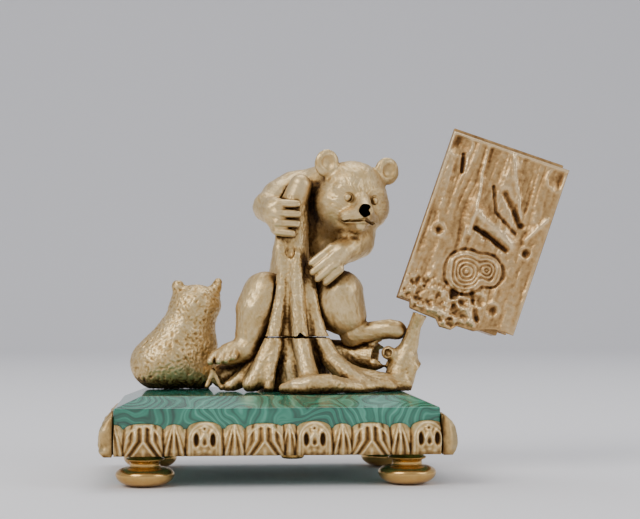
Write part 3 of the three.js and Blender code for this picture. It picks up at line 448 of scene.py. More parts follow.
# ---------------------------------------------------------------- finishes
def materialWith(name, build):
    material = bpy.data.materials.new(name)
    material.use_nodes = True
    nodes, links = material.node_tree.nodes, material.node_tree.links

    def add(kind, settings=None, **inputs):
        node = nodes.new(kind)
        for key, value in (settings or {}).items():
            setattr(node, key, value)
        for key, value in inputs.items():
            socket = node.inputs[int(key[1:])] if key[0] == "i" and key[1:].isdigit() else node.inputs[key]
            if hasattr(value, "is_output"):
                links.new(value, socket)
            else:
                socket.default_value = value
        return node

    build(add, links, nodes["Principled BSDF"])
    return material


def ramp(add, source, stops):
    node = add("ShaderNodeValToRGB", i0=source)
    bar = node.color_ramp
    while len(bar.elements) < len(stops):
        bar.elements.new(0.5)
    for element, (place, colour) in zip(bar.elements, stops):
        element.position, element.color = place, (*colour, 1)
    return node.outputs["Color"]


def math2(add, operation, a, b):
    return add("ShaderNodeMath", {"operation": operation}, i0=a, i1=b).outputs[0]


def cloud(add, where, size, detail=4.0, roughness=0.6):
    return add(
        "ShaderNodeTexNoise", Vector=where, Scale=1 / size, Detail=detail, Roughness=roughness,
    ).outputs["Fac"]


# Matt gilt bronze whose hollows have gone brown, with painted shade darkening folds and deep recesses further
giltLooks = {
    "gilt": {
        "deep": (0.045, 0.02, 0.006), "brown": (0.2, 0.105, 0.03), "gold": (0.56, 0.37, 0.145),
        "worn": (0.76, 0.58, 0.31), "metal": 0.8, "rough": (0.36, 0.62), "grain": 0.35,
    },
    "brownGilt": {
        "deep": (0.04, 0.016, 0.005), "brown": (0.19, 0.09, 0.025), "gold": (0.52, 0.315, 0.125),
        "worn": (0.76, 0.56, 0.31), "metal": 0.8, "rough": (0.3, 0.55), "grain": 0.25,
    },
    "turnedGilt": {
        "deep": (0.1, 0.045, 0.012), "brown": (0.3, 0.155, 0.035), "gold": (0.58, 0.34, 0.1),
        "worn": (0.7, 0.46, 0.17), "metal": 0.92, "rough": (0.2, 0.36), "grain": 0.08,
    },
}


def giltMaterial(name, look):
    def build(add, links, shader):
        where = add("ShaderNodeTexCoord").outputs["Object"]
        # the attribute read here holds patina and wear mixed with painted shade from folds and recesses
        bareAndLitValue = add("ShaderNodeAttribute", {"attribute_name": "bare"}).outputs["Fac"]
        patches = cloud(add, where, 0.011)
        specks = cloud(add, where, 0.0016, 3.0)
        mixed = math2(add, "ADD", bareAndLitValue, math2(add, "MULTIPLY", math2(add, "SUBTRACT", patches, 0.5), 0.55))
        mixed = math2(add, "ADD", mixed, math2(add, "MULTIPLY", math2(add, "SUBTRACT", specks, 0.5), 0.4))
        # the near-black deep stop is painted shade in folds; brown is patina in hollows, darkened further there by
        # painted shade; gold and worn are bare and rubbed gilt
        colour = ramp(add, mixed, [
            (0.1, look["deep"]), (0.33, look["brown"]), (0.58, look["gold"]), (0.92, look["worn"]),
        ])
        links.new(colour, shader.inputs["Base Color"])
        low, high = look["rough"]
        rough = add("ShaderNodeMapRange", i0=mixed, i1=0.2, i2=0.9, i3=high, i4=low)
        links.new(rough.outputs[0], shader.inputs["Roughness"])
        shader.inputs["Metallic"].default_value = look["metal"]
        grain = cloud(add, where, 0.00045, 3.0, 0.7)
        bump = add("ShaderNodeBump", Height=grain, Strength=look["grain"], Distance=0.00012)
        links.new(bump.outputs["Normal"], shader.inputs["Normal"])
    return materialWith(name, build)


malachite = {
    "dark": (0.004, 0.05, 0.03), "deep": (0.01, 0.125, 0.075), "mid": (0.02, 0.21, 0.13),
    "pale": (0.09, 0.36, 0.25), "joint": 0.0275,
}


def malachiteMaterial():
    # bands that wander round eyes
    def build(add, links, shader):
        where = add("ShaderNodeTexCoord").outputs["Object"]
        wander = add("ShaderNodeTexNoise", Vector=where, Scale=26, Detail=3.0).outputs["Color"]
        pull = add("ShaderNodeVectorMath", {"operation": "SCALE"}, i0=wander, Scale=0.045).outputs[0]
        bent = add("ShaderNodeVectorMath", {"operation": "ADD"}, i0=where, i1=pull).outputs[0]
        eyes = add("ShaderNodeTexVoronoi", {"feature": "F1"}, Vector=bent, Scale=34, Randomness=1.0)
        bands = math2(add, "SINE", math2(add, "MULTIPLY", eyes.outputs["Distance"], 62.0), 0.0)
        fine = math2(add, "SINE", math2(add, "MULTIPLY", eyes.outputs["Distance"], 171.0), 0.0)
        tone = math2(add, "ADD", math2(add, "MULTIPLY", bands, 0.22), math2(add, "MULTIPLY", fine, 0.1))
        drift = math2(add, "MULTIPLY", math2(add, "SUBTRACT", cloud(add, where, 0.03), 0.5), 1.3)
        tone = math2(add, "ADD", math2(add, "ADD", tone, drift), 0.45)
        colour = ramp(add, tone, [
            (0.05, malachite["dark"]), (0.35, malachite["deep"]), (0.62, malachite["mid"]),
            (0.95, malachite["pale"]),
        ])
        sheets = add("ShaderNodeTexBrick", Vector=bent, Scale=1.0)
        links.new(colour, shader.inputs["Base Color"])
        shader.inputs["Roughness"].default_value = 0.22
        shader.inputs["Coat Weight"].default_value = 0.7
        shader.inputs["Coat Roughness"].default_value = 0.06
        sheets.id_data.nodes.remove(sheets)
    return materialWith("polishedMalachite", build)


gilt = giltMaterial("chasedGilt", giltLooks["gilt"])
brownGilt = giltMaterial("brownGilt", giltLooks["brownGilt"])
turnedGilt = giltMaterial("turnedGilt", giltLooks["turnedGilt"])
stone = malachiteMaterial()

# ---------------------------------------------------------------- slab, feet and nut
slab = {"width": 109, "depth": 70.4, "bottom": 10.8, "shoulder": 26.2, "top": 29.9, "bevel": 8.8, "eased": 0.35}


def slabMesh():
    def ring(halfWidth, halfDepth, z):
        return [(x * halfWidth, y * halfDepth, z) for x, y in ((-1, -1), (1, -1), (1, 1), (-1, 1))]
    wide, deep, inset = slab["width"] / 2, slab["depth"] / 2, slab["bevel"]
    points = np.array(
        ring(wide, deep, slab["bottom"]) + ring(wide, deep, slab["shoulder"])
        + ring(wide - inset, deep - inset, slab["top"])
    )
    faces = [(3, 2, 1, 0), (8, 9, 10, 11)]
    for level in (0, 4):
        faces += [(level + i, level + (i + 1) % 4, level + 4 + (i + 1) % 4, level + 4 + i) for i in range(4)]
    mesh = bpy.data.meshes.new("malachiteSlab")
    mesh.from_pydata(points.tolist(), [], faces)
    work = bmesh.new()
    work.from_mesh(mesh)
    bmesh.ops.bevel(work, geom=work.edges[:], offset=slab["eased"], segments=3, profile=0.5, affect="EDGES")
    work.to_mesh(mesh)
    work.free()
    return mesh


foot = {
    "x": 44.3, "y": 27.5, "sides": 96, "bunRadius": 9.85, "flatRadius": 3.1, "widest": 3.9, "bunTop": 6.3,
    "neckRadius": 5.35, "ring": (6.5, 0.55, 8.4),
}
nut = {"x": 7, "y": 1, "radius": 4.2, "height": 4.6, "edge": 0.6, "sides": 64}
gap = 0.3


def turnedMesh(name, profile, sides, place):
    angles = np.arange(sides) * 2 * math.pi / sides
    rings = [
        np.stack([r * np.cos(angles), r * np.sin(angles), np.full(sides, z)], 1) for r, z in profile[1:-1]
    ]
    points = np.concatenate([[[0, 0, profile[0][1]]], *rings, [[0, 0, profile[-1][1]]]])
    count = len(rings)
    at = lambda ring, i: 1 + ring * sides + i % sides
    faces = [(0, at(0, i + 1), at(0, i)) for i in range(sides)]
    for ring in range(count - 1):
        faces += [(at(ring, i), at(ring, i + 1), at(ring + 1, i + 1), at(ring + 1, i)) for i in range(sides)]
    faces += [(at(count - 1, i), at(count - 1, i + 1), len(points) - 1) for i in range(sides)]
    mesh = bpy.data.meshes.new(name)
    mesh.from_pydata((points + np.array([*place, 0])).tolist(), [], faces)
    smoothShading(mesh)
    return mesh


def footProfile():
    top = slab["bottom"] - gap
    mix = lambda a, b, t: a + (b - a) * t
    lower = [(a, math.radians(a)) for a in range(10, 91, 10)]
    profile = [(0, 0), (foot["flatRadius"], 0)]
    profile += [
        (mix(foot["flatRadius"], foot["bunRadius"], math.sin(a)), foot["widest"] * (1 - math.cos(a)))
        for _, a in lower
    ]
    profile += [
        (mix(foot["neckRadius"], foot["bunRadius"], math.cos(a)), mix(foot["widest"], foot["bunTop"], math.sin(a)))
        for _, a in lower
    ]
    ringRadius, ringHeight, ringPlace = foot["ring"]
    profile += [(foot["neckRadius"] - 0.25, foot["bunTop"] + 0.5), (foot["neckRadius"] - 0.3, ringPlace - 0.3)]
    profile += [
        (mix(foot["neckRadius"], ringRadius, math.sin(a)), ringPlace + ringHeight * (1 - math.cos(a)))
        for a in np.radians([20, 60, 90, 120, 160])
    ]
    return profile + [(foot["neckRadius"], top - 0.2), (foot["neckRadius"] - 0.1, top), (0, top)]


def bareAndLitOf(mesh, amount):
    # turned work is bare gilt all over, made a little darker towards its top, just under the slab
    z = pointsOf(mesh)[:, 2]
    return amount - 0.25 * smoothstep(6.5, 10.5, z)


addCamera()
addLamps()
addFloor()
addPiece("malachiteSlab", slabMesh(), "malachite_slab", stone)
for sideY, depthName in ((-1, "front"), (1, "back")):
    for sideX, sideName in ((-1, "left"), (1, "right")):
        name = f"bunFoot{depthName.title()}{sideName.title()}"
        mesh = turnedMesh(name, footProfile(), foot["sides"], (sideX * foot["x"], sideY * foot["y"]))
        addPiece(name, mesh, f"bun_foot_{depthName}_{sideName}", turnedGilt, {"bare": bareAndLitOf(mesh, 0.72)})
nutTop = slab["bottom"] - gap
nutProfile = [
    (0, nutTop - nut["height"]), (nut["radius"] - nut["edge"], nutTop - nut["height"]),
    (nut["radius"], nutTop - nut["height"] + nut["edge"]), (nut["radius"], nutTop), (0, nutTop),
]
mesh = turnedMesh("fixingNut", nutProfile, nut["sides"], (nut["x"], nut["y"]))
mesh.polygons.foreach_set("use_smooth", [False] * len(mesh.polygons))
addPiece("fixingNut", mesh, "fixing_nut", turnedGilt, {"bare": bareAndLitOf(mesh, 0.6)})

# ---------------------------------------------------------------- panels on a grid of columns and rows
def panelMesh(name, front, back):
    columns, rows = front.shape[0] - 1, front.shape[1] - 1
    points = np.concatenate([front.reshape(-1, 3), back.reshape(-1, 3)])
    index = np.arange(2 * (columns + 1) * (rows + 1)).reshape(2, columns + 1, rows + 1)
    f, b = index
    faces = [
        np.stack([f[:-1, :-1], f[1:, :-1], f[1:, 1:], f[:-1, 1:]], -1).reshape(-1, 4),
        np.stack([b[:-1, :-1], b[:-1, 1:], b[1:, 1:], b[1:, :-1]], -1).reshape(-1, 4),
        np.stack([f[:-1, 0], b[:-1, 0], b[1:, 0], f[1:, 0]], -1),
        np.stack([f[:-1, -1], f[1:, -1], b[1:, -1], b[:-1, -1]], -1),
        np.stack([f[0, :-1], f[0, 1:], b[0, 1:], b[0, :-1]], -1),
        np.stack([f[-1, :-1], b[-1, :-1], b[-1, 1:], f[-1, 1:]], -1),
    ]
    mesh = meshOf(name, points, np.concatenate(faces))
    smoothShading(mesh)
    return mesh


def blurred(heights, reach):
    # mean over a square window, by running sums along both ways
    for axis in (0, 1):
        padded = np.pad(heights, [(reach + 1, reach) if a == axis else (0, 0) for a in (0, 1)], mode="edge")
        sums = padded.cumsum(axis)
        size = heights.shape[axis]
        high = sums.take(np.arange(2 * reach + 1, 2 * reach + 1 + size), axis)
        low = sums.take(np.arange(size), axis)
        heights = (high - low) / (2 * reach + 1)
    return heights


def ridge(distance, width):
    return np.exp(-(distance / width) ** 2)


# Leaf border: six leaves and arches in turn, with a ribbed tongue between two of them
border = {
    "bulge": 4.8, "valley": 8.8, "sideTop": 14.2, "frontTop": 11.2, "relief": 0.9, "columnStep": 0.3, "rows": 42,
    "leaf": {"half": 6.2, "peak": 10.6}, "arch": {"half": 5.6, "peak": 11.2}, "tongue": {"half": 3.0, "peak": 10.3},
    "front": [9.7, 29.8, 49.6, 66.1, 85.1, 104.4], "sidePitch": 19.0,
    "profile": [(0, 0.66), (0.12, 0.9), (0.28, 1), (0.5, 0.98), (0.72, 0.84), (0.86, 0.62), (1, 0.2)],
}


def motifPlaces(along, middles):
    # signed distance from the nearest leaf or arch, whether it is an arch, and distance from the nearest tongue
    middles = np.array(middles)
    nearest = np.abs(along[:, None] - middles).argmin(1)
    tongues = np.concatenate([
        [middles[0] - (middles[1] - middles[0]) / 2], (middles[1:] + middles[:-1]) / 2,
        [middles[-1] + (middles[-1] - middles[-2]) / 2],
    ])
    fromTongue = along[:, None] - tongues
    fromTongue = np.take_along_axis(fromTongue, np.abs(fromTongue).argmin(1)[:, None], 1)[:, 0]
    return along - middles[nearest], nearest % 2 == 1, fromTongue


def borderTop(fromMotif, isArch, fromTongue):
    leaf, arch, tongue = border["leaf"], border["arch"], border["tongue"]
    half = np.where(isArch, arch["half"], leaf["half"])
    peak = np.where(isArch, arch["peak"], leaf["peak"])
    dome = border["valley"] + (peak - border["valley"]) * np.sqrt(np.clip(1 - (fromMotif / half) ** 2, 0, 1))
    tip = np.sqrt(np.clip(1 - (fromTongue / tongue["half"]) ** 2, 0, 1))
    return np.maximum(dome, border["valley"] + (tongue["peak"] - border["valley"]) * tip)


def leafCarving(x, z, top):
    # a ridge down the middle that parts round a small leaf, between ribs that flare outwards
    s = z / 10.6
    side = np.abs(x)
    parting = np.clip(0.46 - s, 0, 1) * 7.6
    relief = 1.0 * ridge(side - parting, 0.5) * (s < 0.97)
    relief += 0.75 * ridge(side, 0.55) * smoothstep(0.3, 0.12, s)
    relief -= 0.7 * ridge(side - parting - 1.35, 0.6) * smoothstep(0.97, 0.8, s)
    relief += 0.7 * ridge(side - parting * 0.8 - 2.6 - 0.5 * (1 - s), 0.5)
    relief -= 0.55 * ridge(side - parting * 0.6 - 3.9 - 0.5 * (1 - s), 0.5)
    relief += 0.8 * ridge(np.hypot(x / 6.2, (z - 4.4) / 6.2) * 6.2 - 5.6, 0.45) * smoothstep(3.5, 6, z)
    return relief


def archCarving(x, z, top):
    # a rim along the arch, two hollows like drops, and a looped pendant between them under a ring
    side = np.abs(x)
    rim = np.where(z > 5.6, np.hypot(x / 5.6, (z - 5.6) / 5.6) * 5.6, side)
    relief = 0.85 * ridge(rim - 5.0, 0.42) + 0.5 * ridge(rim - 3.95, 0.35)
    drop = np.hypot((side - 2.75) / 0.95, (z - 5.4) / 2.3)
    relief -= 1.35 * smoothstep(1.15, 0.35, drop)
    relief += 0.45 * ridge(drop - 1.3, 0.25)
    loop = np.hypot(x / 1.25, np.where(z < 4.2, (z - 4.2) / 1.2, (z - 4.2) / 3.4))
    relief += 0.7 * ridge(loop - 0.85, 0.3) - 0.5 * ridge(loop, 0.35)
    ring = np.hypot(x, z - 9.0)
    relief += 0.6 * ridge(ring - 0.8, 0.32) - 0.4 * ridge(ring, 0.35)
    relief += 0.7 * ridge(np.hypot(side - 1.9, z - 1.3), 0.7) + 0.6 * ridge(np.hypot(x, z - 1.9), 0.6)
    return relief


def tongueCarving(x, z, top):
    # ribs that run down from the tongue's tip and spread
    spread = 0.35 + 0.19 * np.clip(10 - z, 0, 10)
    side = np.abs(x)
    relief = 0.9 * ridge(x, 0.42) - 0.5 * ridge(side - 0.75 * spread, 0.34)
    relief += 0.7 * ridge(side - 1.35 * spread, 0.36) - 0.45 * ridge(side - 1.9 * spread, 0.32)
    return relief


def borderCarving(x, isArch, t, z, top):
    motif = np.where(isArch, archCarving(x, z, top), leafCarving(x, z, top))
    edge = np.where(isArch, 5.9, 6.3) + 0.05 * (10 - z)
    share = smoothstep(edge + 0.5, edge - 0.5, np.abs(x) + 0.0 * z)
    notch = -0.8 * ridge(np.abs(x) - edge, 0.35)
    return border["relief"] * (motif * share + tongueCarving(t, z, top) * (1 - share) + notch)


def stripMesh(name, length, middles, lift, place, turn):
    columns, rows = int(length / border["columnStep"]), border["rows"]
    along = np.linspace(0, length, columns + 1)
    x, isArch, t = motifPlaces(along, middles)
    top = borderTop(x, isArch, t)
    share = np.linspace(0, 1, rows + 1)
    z = share * top[:, None]
    grid = lambda values: np.broadcast_to(values[:, None], z.shape)
    carving = borderCarving(grid(x), grid(isArch), grid(t), z, grid(top))
    heights, reaches = zip(*border["profile"])
    bulge = np.interp(share, heights, reaches)
    wobble = softNoise(np.stack([grid(along).ravel(), z.ravel(), 0 * z.ravel()], 1), 1.3).reshape(z.shape)
    out = (border["bulge"] - border["relief"] + carving + 0.22 * (wobble - 0.5)) * bulge
    out = np.clip(out, 0.25, border["bulge"])
    stretch = (border["frontTop"] + lift) / border["frontTop"]
    front = np.stack([grid(along) - length / 2, -out, z * stretch], -1)
    back = np.stack([grid(along) - length / 2, 0 * z, z * stretch], -1)
    # darker in the carving's hollows: patina there, deepened by painted shade
    bare = np.clip(0.62 + 0.55 * (carving - blurred(carving, 4)) + 0.16 * carving, 0, 1)
    # painted shade along the lowest rows, where the border tucks in under its bulge
    bare = bare * (0.72 + 0.28 * smoothstep(0, 0.2, share))
    mesh = panelMesh(name, front, back)
    turned = Matrix.Translation((*place, slab["bottom"])) @ Matrix.Rotation(turn, 4, "Z")
    mesh.transform(turned)
    # the back faces, turned in towards the slab, get an even darker value as painted shade
    return mesh, np.concatenate([bare.ravel(), np.full(bare.size, 0.4)])


frontLength = slab["width"] - 2 * gap
sideLength = slab["depth"] + 2 * border["bulge"] + 2 * gap
sideLift = border["sideTop"] - border["frontTop"]
sideMiddles = [border["sidePitch"] * (i + 0.5) for i in range(5)]
halfWidth, halfDepth = slab["width"] / 2 + gap, slab["depth"] / 2 + gap
for name, length, middles, lift, place, turn in (
    ("front", frontLength, border["front"], 0, (0, -halfDepth), 0),
    ("back", frontLength, border["front"], 0, (0, halfDepth), math.pi),
    ("left", sideLength, sideMiddles, sideLift, (-halfWidth, 0), -math.pi / 2),
    ("right", sideLength, sideMiddles, sideLift, (halfWidth, 0), math.pi / 2),
):
    mesh, bare = stripMesh(f"leafBorder{name.title()}", length, middles, lift, place, turn)
    addPiece(f"leafBorder{name.title()}", mesh, f"border_strip_{name}", gilt, {"bare": bare})

# ---------------------------------------------------------------- tree
softness = {
    "bark": 1.9, "ground": 2.2, "shard": 0.6, "cut": 0.4, "stump": 1, "joinedTree": 1, "hollow": 0.8,
    "skull": 3, "face": 1.8, "ear": 1.6, "onHead": 1.2, "faceCut": 0.7, "eye": 0.3, "body": 3.2, "arm": 2,
    "foot": 1.4, "toe": 0.5, "finger": 0.35, "neck": 2.4, "digit": 0.9, "cubBody": 3, "cubLimb": 1.4,
}
tree = {
    "seam": 49.1,
    "trunk": [
        [9.8, 1, 103.3, 4.1], [7.8, 1.8, 97, 5.2], [7.5, 2, 84, 5.4], [7.7, 2.2, 73, 5.7],
        [8.2, 2.6, 62, 6.7], [8.4, 3, 49, 8.4], [8.8, 4, 38, 10.6], [8.8, 6, 28, 12.5],
    ],
    "strands": [
        [[4.4, -1, 80, 2.1], [3.6, -1.7, 74, 2.3], [2.5, -2.7, 62.2, 2.5], [0, -4, 49.1, 2.9],
         [-3.8, -5, 40.4, 3.2], [-7, -5, 33.5, 3.6]],
        [[8, -2.8, 78, 2.4], [8.4, -4.3, 62.2, 2.8], [9.2, -6, 49.2, 3.2], [10.8, -9.4, 41, 3.3],
         [12, -14, 33.6, 4]],
        [[12.4, -0.6, 72, 2.2], [14.2, -2, 58.7, 2.6], [16.2, -3, 49.8, 3], [20.4, -5, 41.2, 3.5],
         [26.7, -8, 35, 3.6], [33, -10, 31.4, 3.2]],
        [[14, 5, 56, 2], [18, 7, 46, 2.8], [25, 10, 36, 3.2], [33, 13, 30.5, 2.6]],
        [[8, 6.5, 60, 2], [7, 10, 46, 3], [2, 19, 35, 4], [-3, 24, 29.5, 3]],
        [[10, 7, 58, 2], [13, 12, 44, 3.4], [19, 20, 34, 3.6], [24, 24.5, 29.5, 2.6]],
    ],
    "roots": [
        [[-0.3, 2, 46.1, 3.2], [-6.3, 1, 38.6, 3.5], [-12.4, -1, 33.4, 2.9], [-15.4, -2, 31.6, 2.4]],
        [[1.1, -5, 46.3, 2], [-1.1, -7.5, 38.3, 1.9], [-2, -8.6, 31.5, 2]],
        [[24, -3, 38, 3.2], [30, -4, 35, 3.4], [39.5, -5, 33, 3.6], [46.4, -5, 32.2, 2.9]],
        [[34, -8, 32, 2.8], [41, -9, 31.4, 2.4]],
    ],
    "blockRoot": [[-4.6, -5.6, 36.4, 2.6], [-8.6, -7.4, 32.4, 2.5]],
    "frontMound": [
        [3.2, -17.4, 31.6, 2.2], [7, -19.4, 32.2, 3.3], [12, -20, 33, 3.7], [18, -18.6, 33.2, 3.7],
        [23, -15.6, 32, 3.4], [29, -13, 31.2, 3],
    ],
    "seatMound": ([9, 18, 35], [13, 8.5, 11.6]),
    "hollows": [([5.9, -4.2, 79.6], [1.5, 1.7, 2.4]), ([4.2, -11.5, 35.4], [2.8, 5, 5])],
    "forkStub": [[2.7, -1, 85.4, 2], [2.1, -1.9, 80, 2], [2.3, -2.2, 75.4, 1.7]],
    "log": [
        [-18, 6.5, 34.9, 4.4], [-6, 10, 37.5, 5], [8, 13, 41.5, 5.6], [21, 11.5, 42.6, 5.5],
        [37.4, 4.6, 41.4, 5.5],
    ],
    "logMouth": ([37.2, 4.8, 41.4], [0.9, -0.38, -0.15]),
    "logBore": [[30, 7.6, 41.8, 3.9], [40, 3.4, 41.2, 4.4]],
    "shards": [
        [[34.6, 4, 46, 1.5], [38.6, 2, 48, 0.8]], [[36.6, 1.6, 39.4, 2.6], [43.4, 0.4, 40, 1.4]],
        [[38, 6, 44.6, 2], [42.4, 4.4, 42.6, 1.1]],
    ],
    "twigs": [[[-21.4, 0, 37], [-23.6, -1, 31.6]], [[-21.4, 0, 37], [-18.4, -1, 31]]],
    "twigRadius": 0.95,
    "stump": [[44, -2.6, 31, 5.4], [46, -1, 37, 5.4], [47.3, -1, 42, 4.7], [48.9, -1.8, 46.6, 3]],
    "stumpStub": [[46, -1, 40.4, 4.6], [53, -1, 33.6, 4.4]],
    "stumpCut": ([50.6, -1, 36.6], [0.75, 0, -0.66]),
    "knob": [[44.5, -1.4, 42, 2.4], [40.9, -3.4, 43.4, 2.5]],
    "knobDimple": [[40.2, -6.4, 43.6, 1.3], [40.8, -4.6, 43.4, 1.2]],
    "branch": [[48.9, -1.8, 46.6, 3], [50.4, -4.6, 53.3, 2.4], [51.8, -6.2, 57, 2.7], [52.6, -6.4, 60, 2.9]],
    "rootsBox": ([-27, -27, 28], [58, 31, 66]), "trunkBox": ([-3, -9, 47], [20, 14, 110]),
    "step": 0.42, "trunkStep": 0.36,
    "bark": {"spacing": 1.35, "length": 6.5, "width": 1.25, "sway": 0.22, "curl": 0.35, "seed": 21, "high": 0.42},
    "grit": {"spacing": 0.95, "length": 1.7, "width": 1.0, "sway": 1.5, "curl": 0.1, "seed": 22, "high": 0.2},
    "smooth": [((9.8, 1, 104), 9)],
}


def treeForm():
    bark = blend(softness["bark"], [chain(s) for s in (tree["trunk"], *tree["strands"], tree["forkStub"])])
    lower = [chain(s) for s in (*tree["roots"], tree["blockRoot"], tree["frontMound"])]
    ground = blend(softness["ground"], [bark, *lower, oval(*tree["seatMound"])])
    logOutside = within(chain(tree["log"]), halfSpace(*tree["logMouth"]))
    raggedLog = blend(softness["shard"], [logOutside, *[chain(s) for s in tree["shards"]]])
    hollowLog = carve(softness["cut"], raggedLog, [chain(tree["logBore"])])
    stub = within(chain([[*s[:3], s[3]] for s in tree["stumpStub"]]), halfSpace(*tree["stumpCut"]))
    stumpParts = [chain(tree["stump"]), stub, chain(tree["branch"]), chain(tree["knob"])]
    stumpForm = carve(softness["cut"], blend(softness["stump"], stumpParts), [chain(tree["knobDimple"])])
    radius = tree["twigRadius"]
    twigs = [limb(a, radius, b, radius) for a, b in tree["twigs"]]
    whole = blend(softness["joinedTree"], [ground, hollowLog, stumpForm, *twigs])
    return carve(softness["hollow"], whole, [oval(*h) for h in tree["hollows"]])


# ---------------------------------------------------------------- holder place
holder = {
    "middle": (74.1, -10.5, 86.1), "lean": 19.2, "turn": 5, "width": 43.4, "height": 62.1,
    "frontThickness": 2.6, "clearGap": 15.4, "backThickness": 1.6, "backWidth": 42.4, "backRise": 3.9,
    "ledgeFrom": 6, "ledgeTo": 38, "ledgeDrop": 3, "ledgeOverlap": 1, "lipReach": 3.2, "step": 0.27,
}
holderPlace = (
    Matrix.Translation(holder["middle"])
    @ Matrix.Rotation(math.radians(holder["lean"]), 4, "Y")
    @ Matrix.Rotation(math.radians(-holder["turn"]), 4, "Z")
)
leanAxis = np.array([math.sin(math.radians(holder["lean"])), 0, math.cos(math.radians(holder["lean"]))])
plateFoot = leanAxis @ np.array(holder["middle"]) - holder["height"] / 2 - holder["lipReach"] - gap

# ---------------------------------------------------------------- bear
bear = {
    "rump": ([9.5, 22, 57.5], 11), "belly": ([12, 13, 66], [9, 7, 11]),
    "torso": [[9.5, 21.5, 62, 11.6], [12, 21.5, 80, 11.2], [15, 19, 95, 11], [20, 12, 101, 9.6]],
    "shoulder": [[14, 14.5, 101.6, 9], [21, 11, 104, 8]],
    "chest": [[20.5, 15.5, 85, 9], [22, 14, 92, 9]],
    "leftArm": [[8.5, 13.5, 101, 8.6], [3.4, 9.4, 98.6, 7.8], [-1.5, 5.2, 95.8, 5.8], [0.2, -0.6, 93.6, 4.8]],
    "leftPalm": [[0.6, -1.8, 95, 3.7], [1.8, -2.2, 88.4, 3.3]],
    "rightArm": [
        [27, 16, 96, 8.5], [31.2, 10, 89.4, 7.2], [30.6, 3.4, 83.4, 6.3], [27.4, -1.2, 81, 5.3], [24.2, -4, 79, 4.3],
    ],
    "rightPalm": [[23.4, -4.4, 79, 4], [21.6, -5, 76, 3.4]],
    "leftLeg": [
        [7, 18, 61, 9], [-2.6, 5, 64.2, 8.4], [-5.4, 4, 58.6, 8], [-7.6, 3, 50, 6], [-9.2, 2.4, 45.4, 4.8],
    ],
    "rightLeg": [
        [17, 18, 60, 9.2], [24.3, 3.6, 64.6, 8.6], [26.3, 4, 56.8, 7.7], [28.6, 4, 51.4, 5], [28.6, 4.4, 49.2, 3.9],
    ],
    "rightInnerThigh": [[14, 10, 62, 7], [20, 5, 59.2, 7.4]],
    "leftFoot": [[-9.4, 1.8, 44.4, 5], [-15.4, 0.8, 43, 4.3], [-19.4, 1.2, 42, 2.9]],
    "rightFoot": [[28.8, 4, 49.3, 3.9], [36.4, 2.6, 51.1, 3.6], [42, 1.2, 51.8, 3.7], [44.6, 0.6, 51.4, 3.5]],
    "tail": [[9.5, 32.5, 54, 2.6], [9.5, 34.8, 52.6, 2]],
    "digitRadius": 1.75, "tipShare": 0.8,
    "fingers": [
        [[1.4, -4.2, 96.4], [8.4, -5, 96.2]], [[1, -4.8, 93], [8.6, -5.6, 92.6]],
        [[1, -4.8, 89.6], [8.2, -5.4, 89.2]], [[1.2, -4.2, 86.6], [6.6, -5.4, 85.8]],
        [[20.4, -6, 80.8], [13.4, -5.4, 75.4]], [[21, -7, 78], [13.8, -5.8, 72.2]],
        [[22, -7.2, 75.4], [15.6, -5.6, 69.8]], [[23.2, -6.4, 73.2], [18.4, -5, 68.6]],
    ],
    "toes": [
        [[-20.8, 1, 42.4], [-22.2, -2.6, 40.6]], [[-18.2, 0, 43], [-19.2, -4.4, 40.8]],
        [[-15.8, -0.6, 43.4], [-16.6, -5.2, 41.2]], [[-13.4, -1.2, 44], [-14.2, -5.6, 42.2]],
        [[43, 3, 51.8], [46.4, 2.8, 50.6]], [[43.4, 1.2, 52], [47, 0.7, 50.8]],
        [[43.2, -0.6, 51.8], [46.6, -1.4, 50.6]],
    ],
    "box": ([-28, -14, 36], [52, 40, 120]), "step": 0.5, "clearOfTree": 0.15,
    "spots": [((32, -12, 96), 13)],
    "locks": {"spacing": 2.1, "length": 7.5, "width": 2.6, "sway": 0.25, "curl": 0.5, "seed": 31, "high": 0.34},
    "hairs": {"spacing": 1.05, "length": 3.8, "width": 0.95, "sway": 0.3, "curl": 0.25, "seed": 32, "high": 0.26},
}
head = {
    "place": ([28.76, 2.5, 99.84], 13.4, 2.9, 5.6),
    "skull": ([0, -1.5, 2.1], [12, 12.2, 10.6]), "cheek": ([5.4, 0.6, -3.6], [8.5, 9, 8.4]),
    "brow": [[2.8, 9, 2.2, 1.9], [7.2, 7.4, 1.6, 1.9]],
    "bridge": [[0, 8.4, 0, 3.2], [0, 14.2, -4.2, 2.4]],
    "muzzle": [[0, 7, -5.8, 5.8], [0, 12.4, -6.4, 4]],
    "nose": ([0, 16.4, -5.3], [2.5, 1.6, 2.1]), "nostril": ([1.35, 17.7, -5.2], 0.8),
    "lip": [[0.8, 14.4, -7.2, 2], [4.9, 9.8, -8.2, 2.4]],
    "chin": [[0, 6.8, -10.2, 4.2], [0, 12.4, -11, 2]],
    "mouth": [[0, 16.6, -8.7, 0.5], [6, 9.8, -9.5, 0.6]],
    "eyeSocket": ([5.1, 11.3, -1.4], 1.9), "eye": ([5, 9.6, -1.4], 1.45),
    "ear": ([11.5, 1.6, 10.2], [4.6, 2, 5.1]), "earRoot": [[7.4, -0.5, 6.8, 3.8], [10, 0.4, 8.8, 2.9]],
    "earHollow": ([11.8, 4.2, 10.6], [2.7, 2.2, 3.1]),
    "throat": [[-1, 1, -8, 7.4], [-3, -8, -8, 9]],
}


def mirrored(place, side):
    return [place[0] * side, *place[1:]]


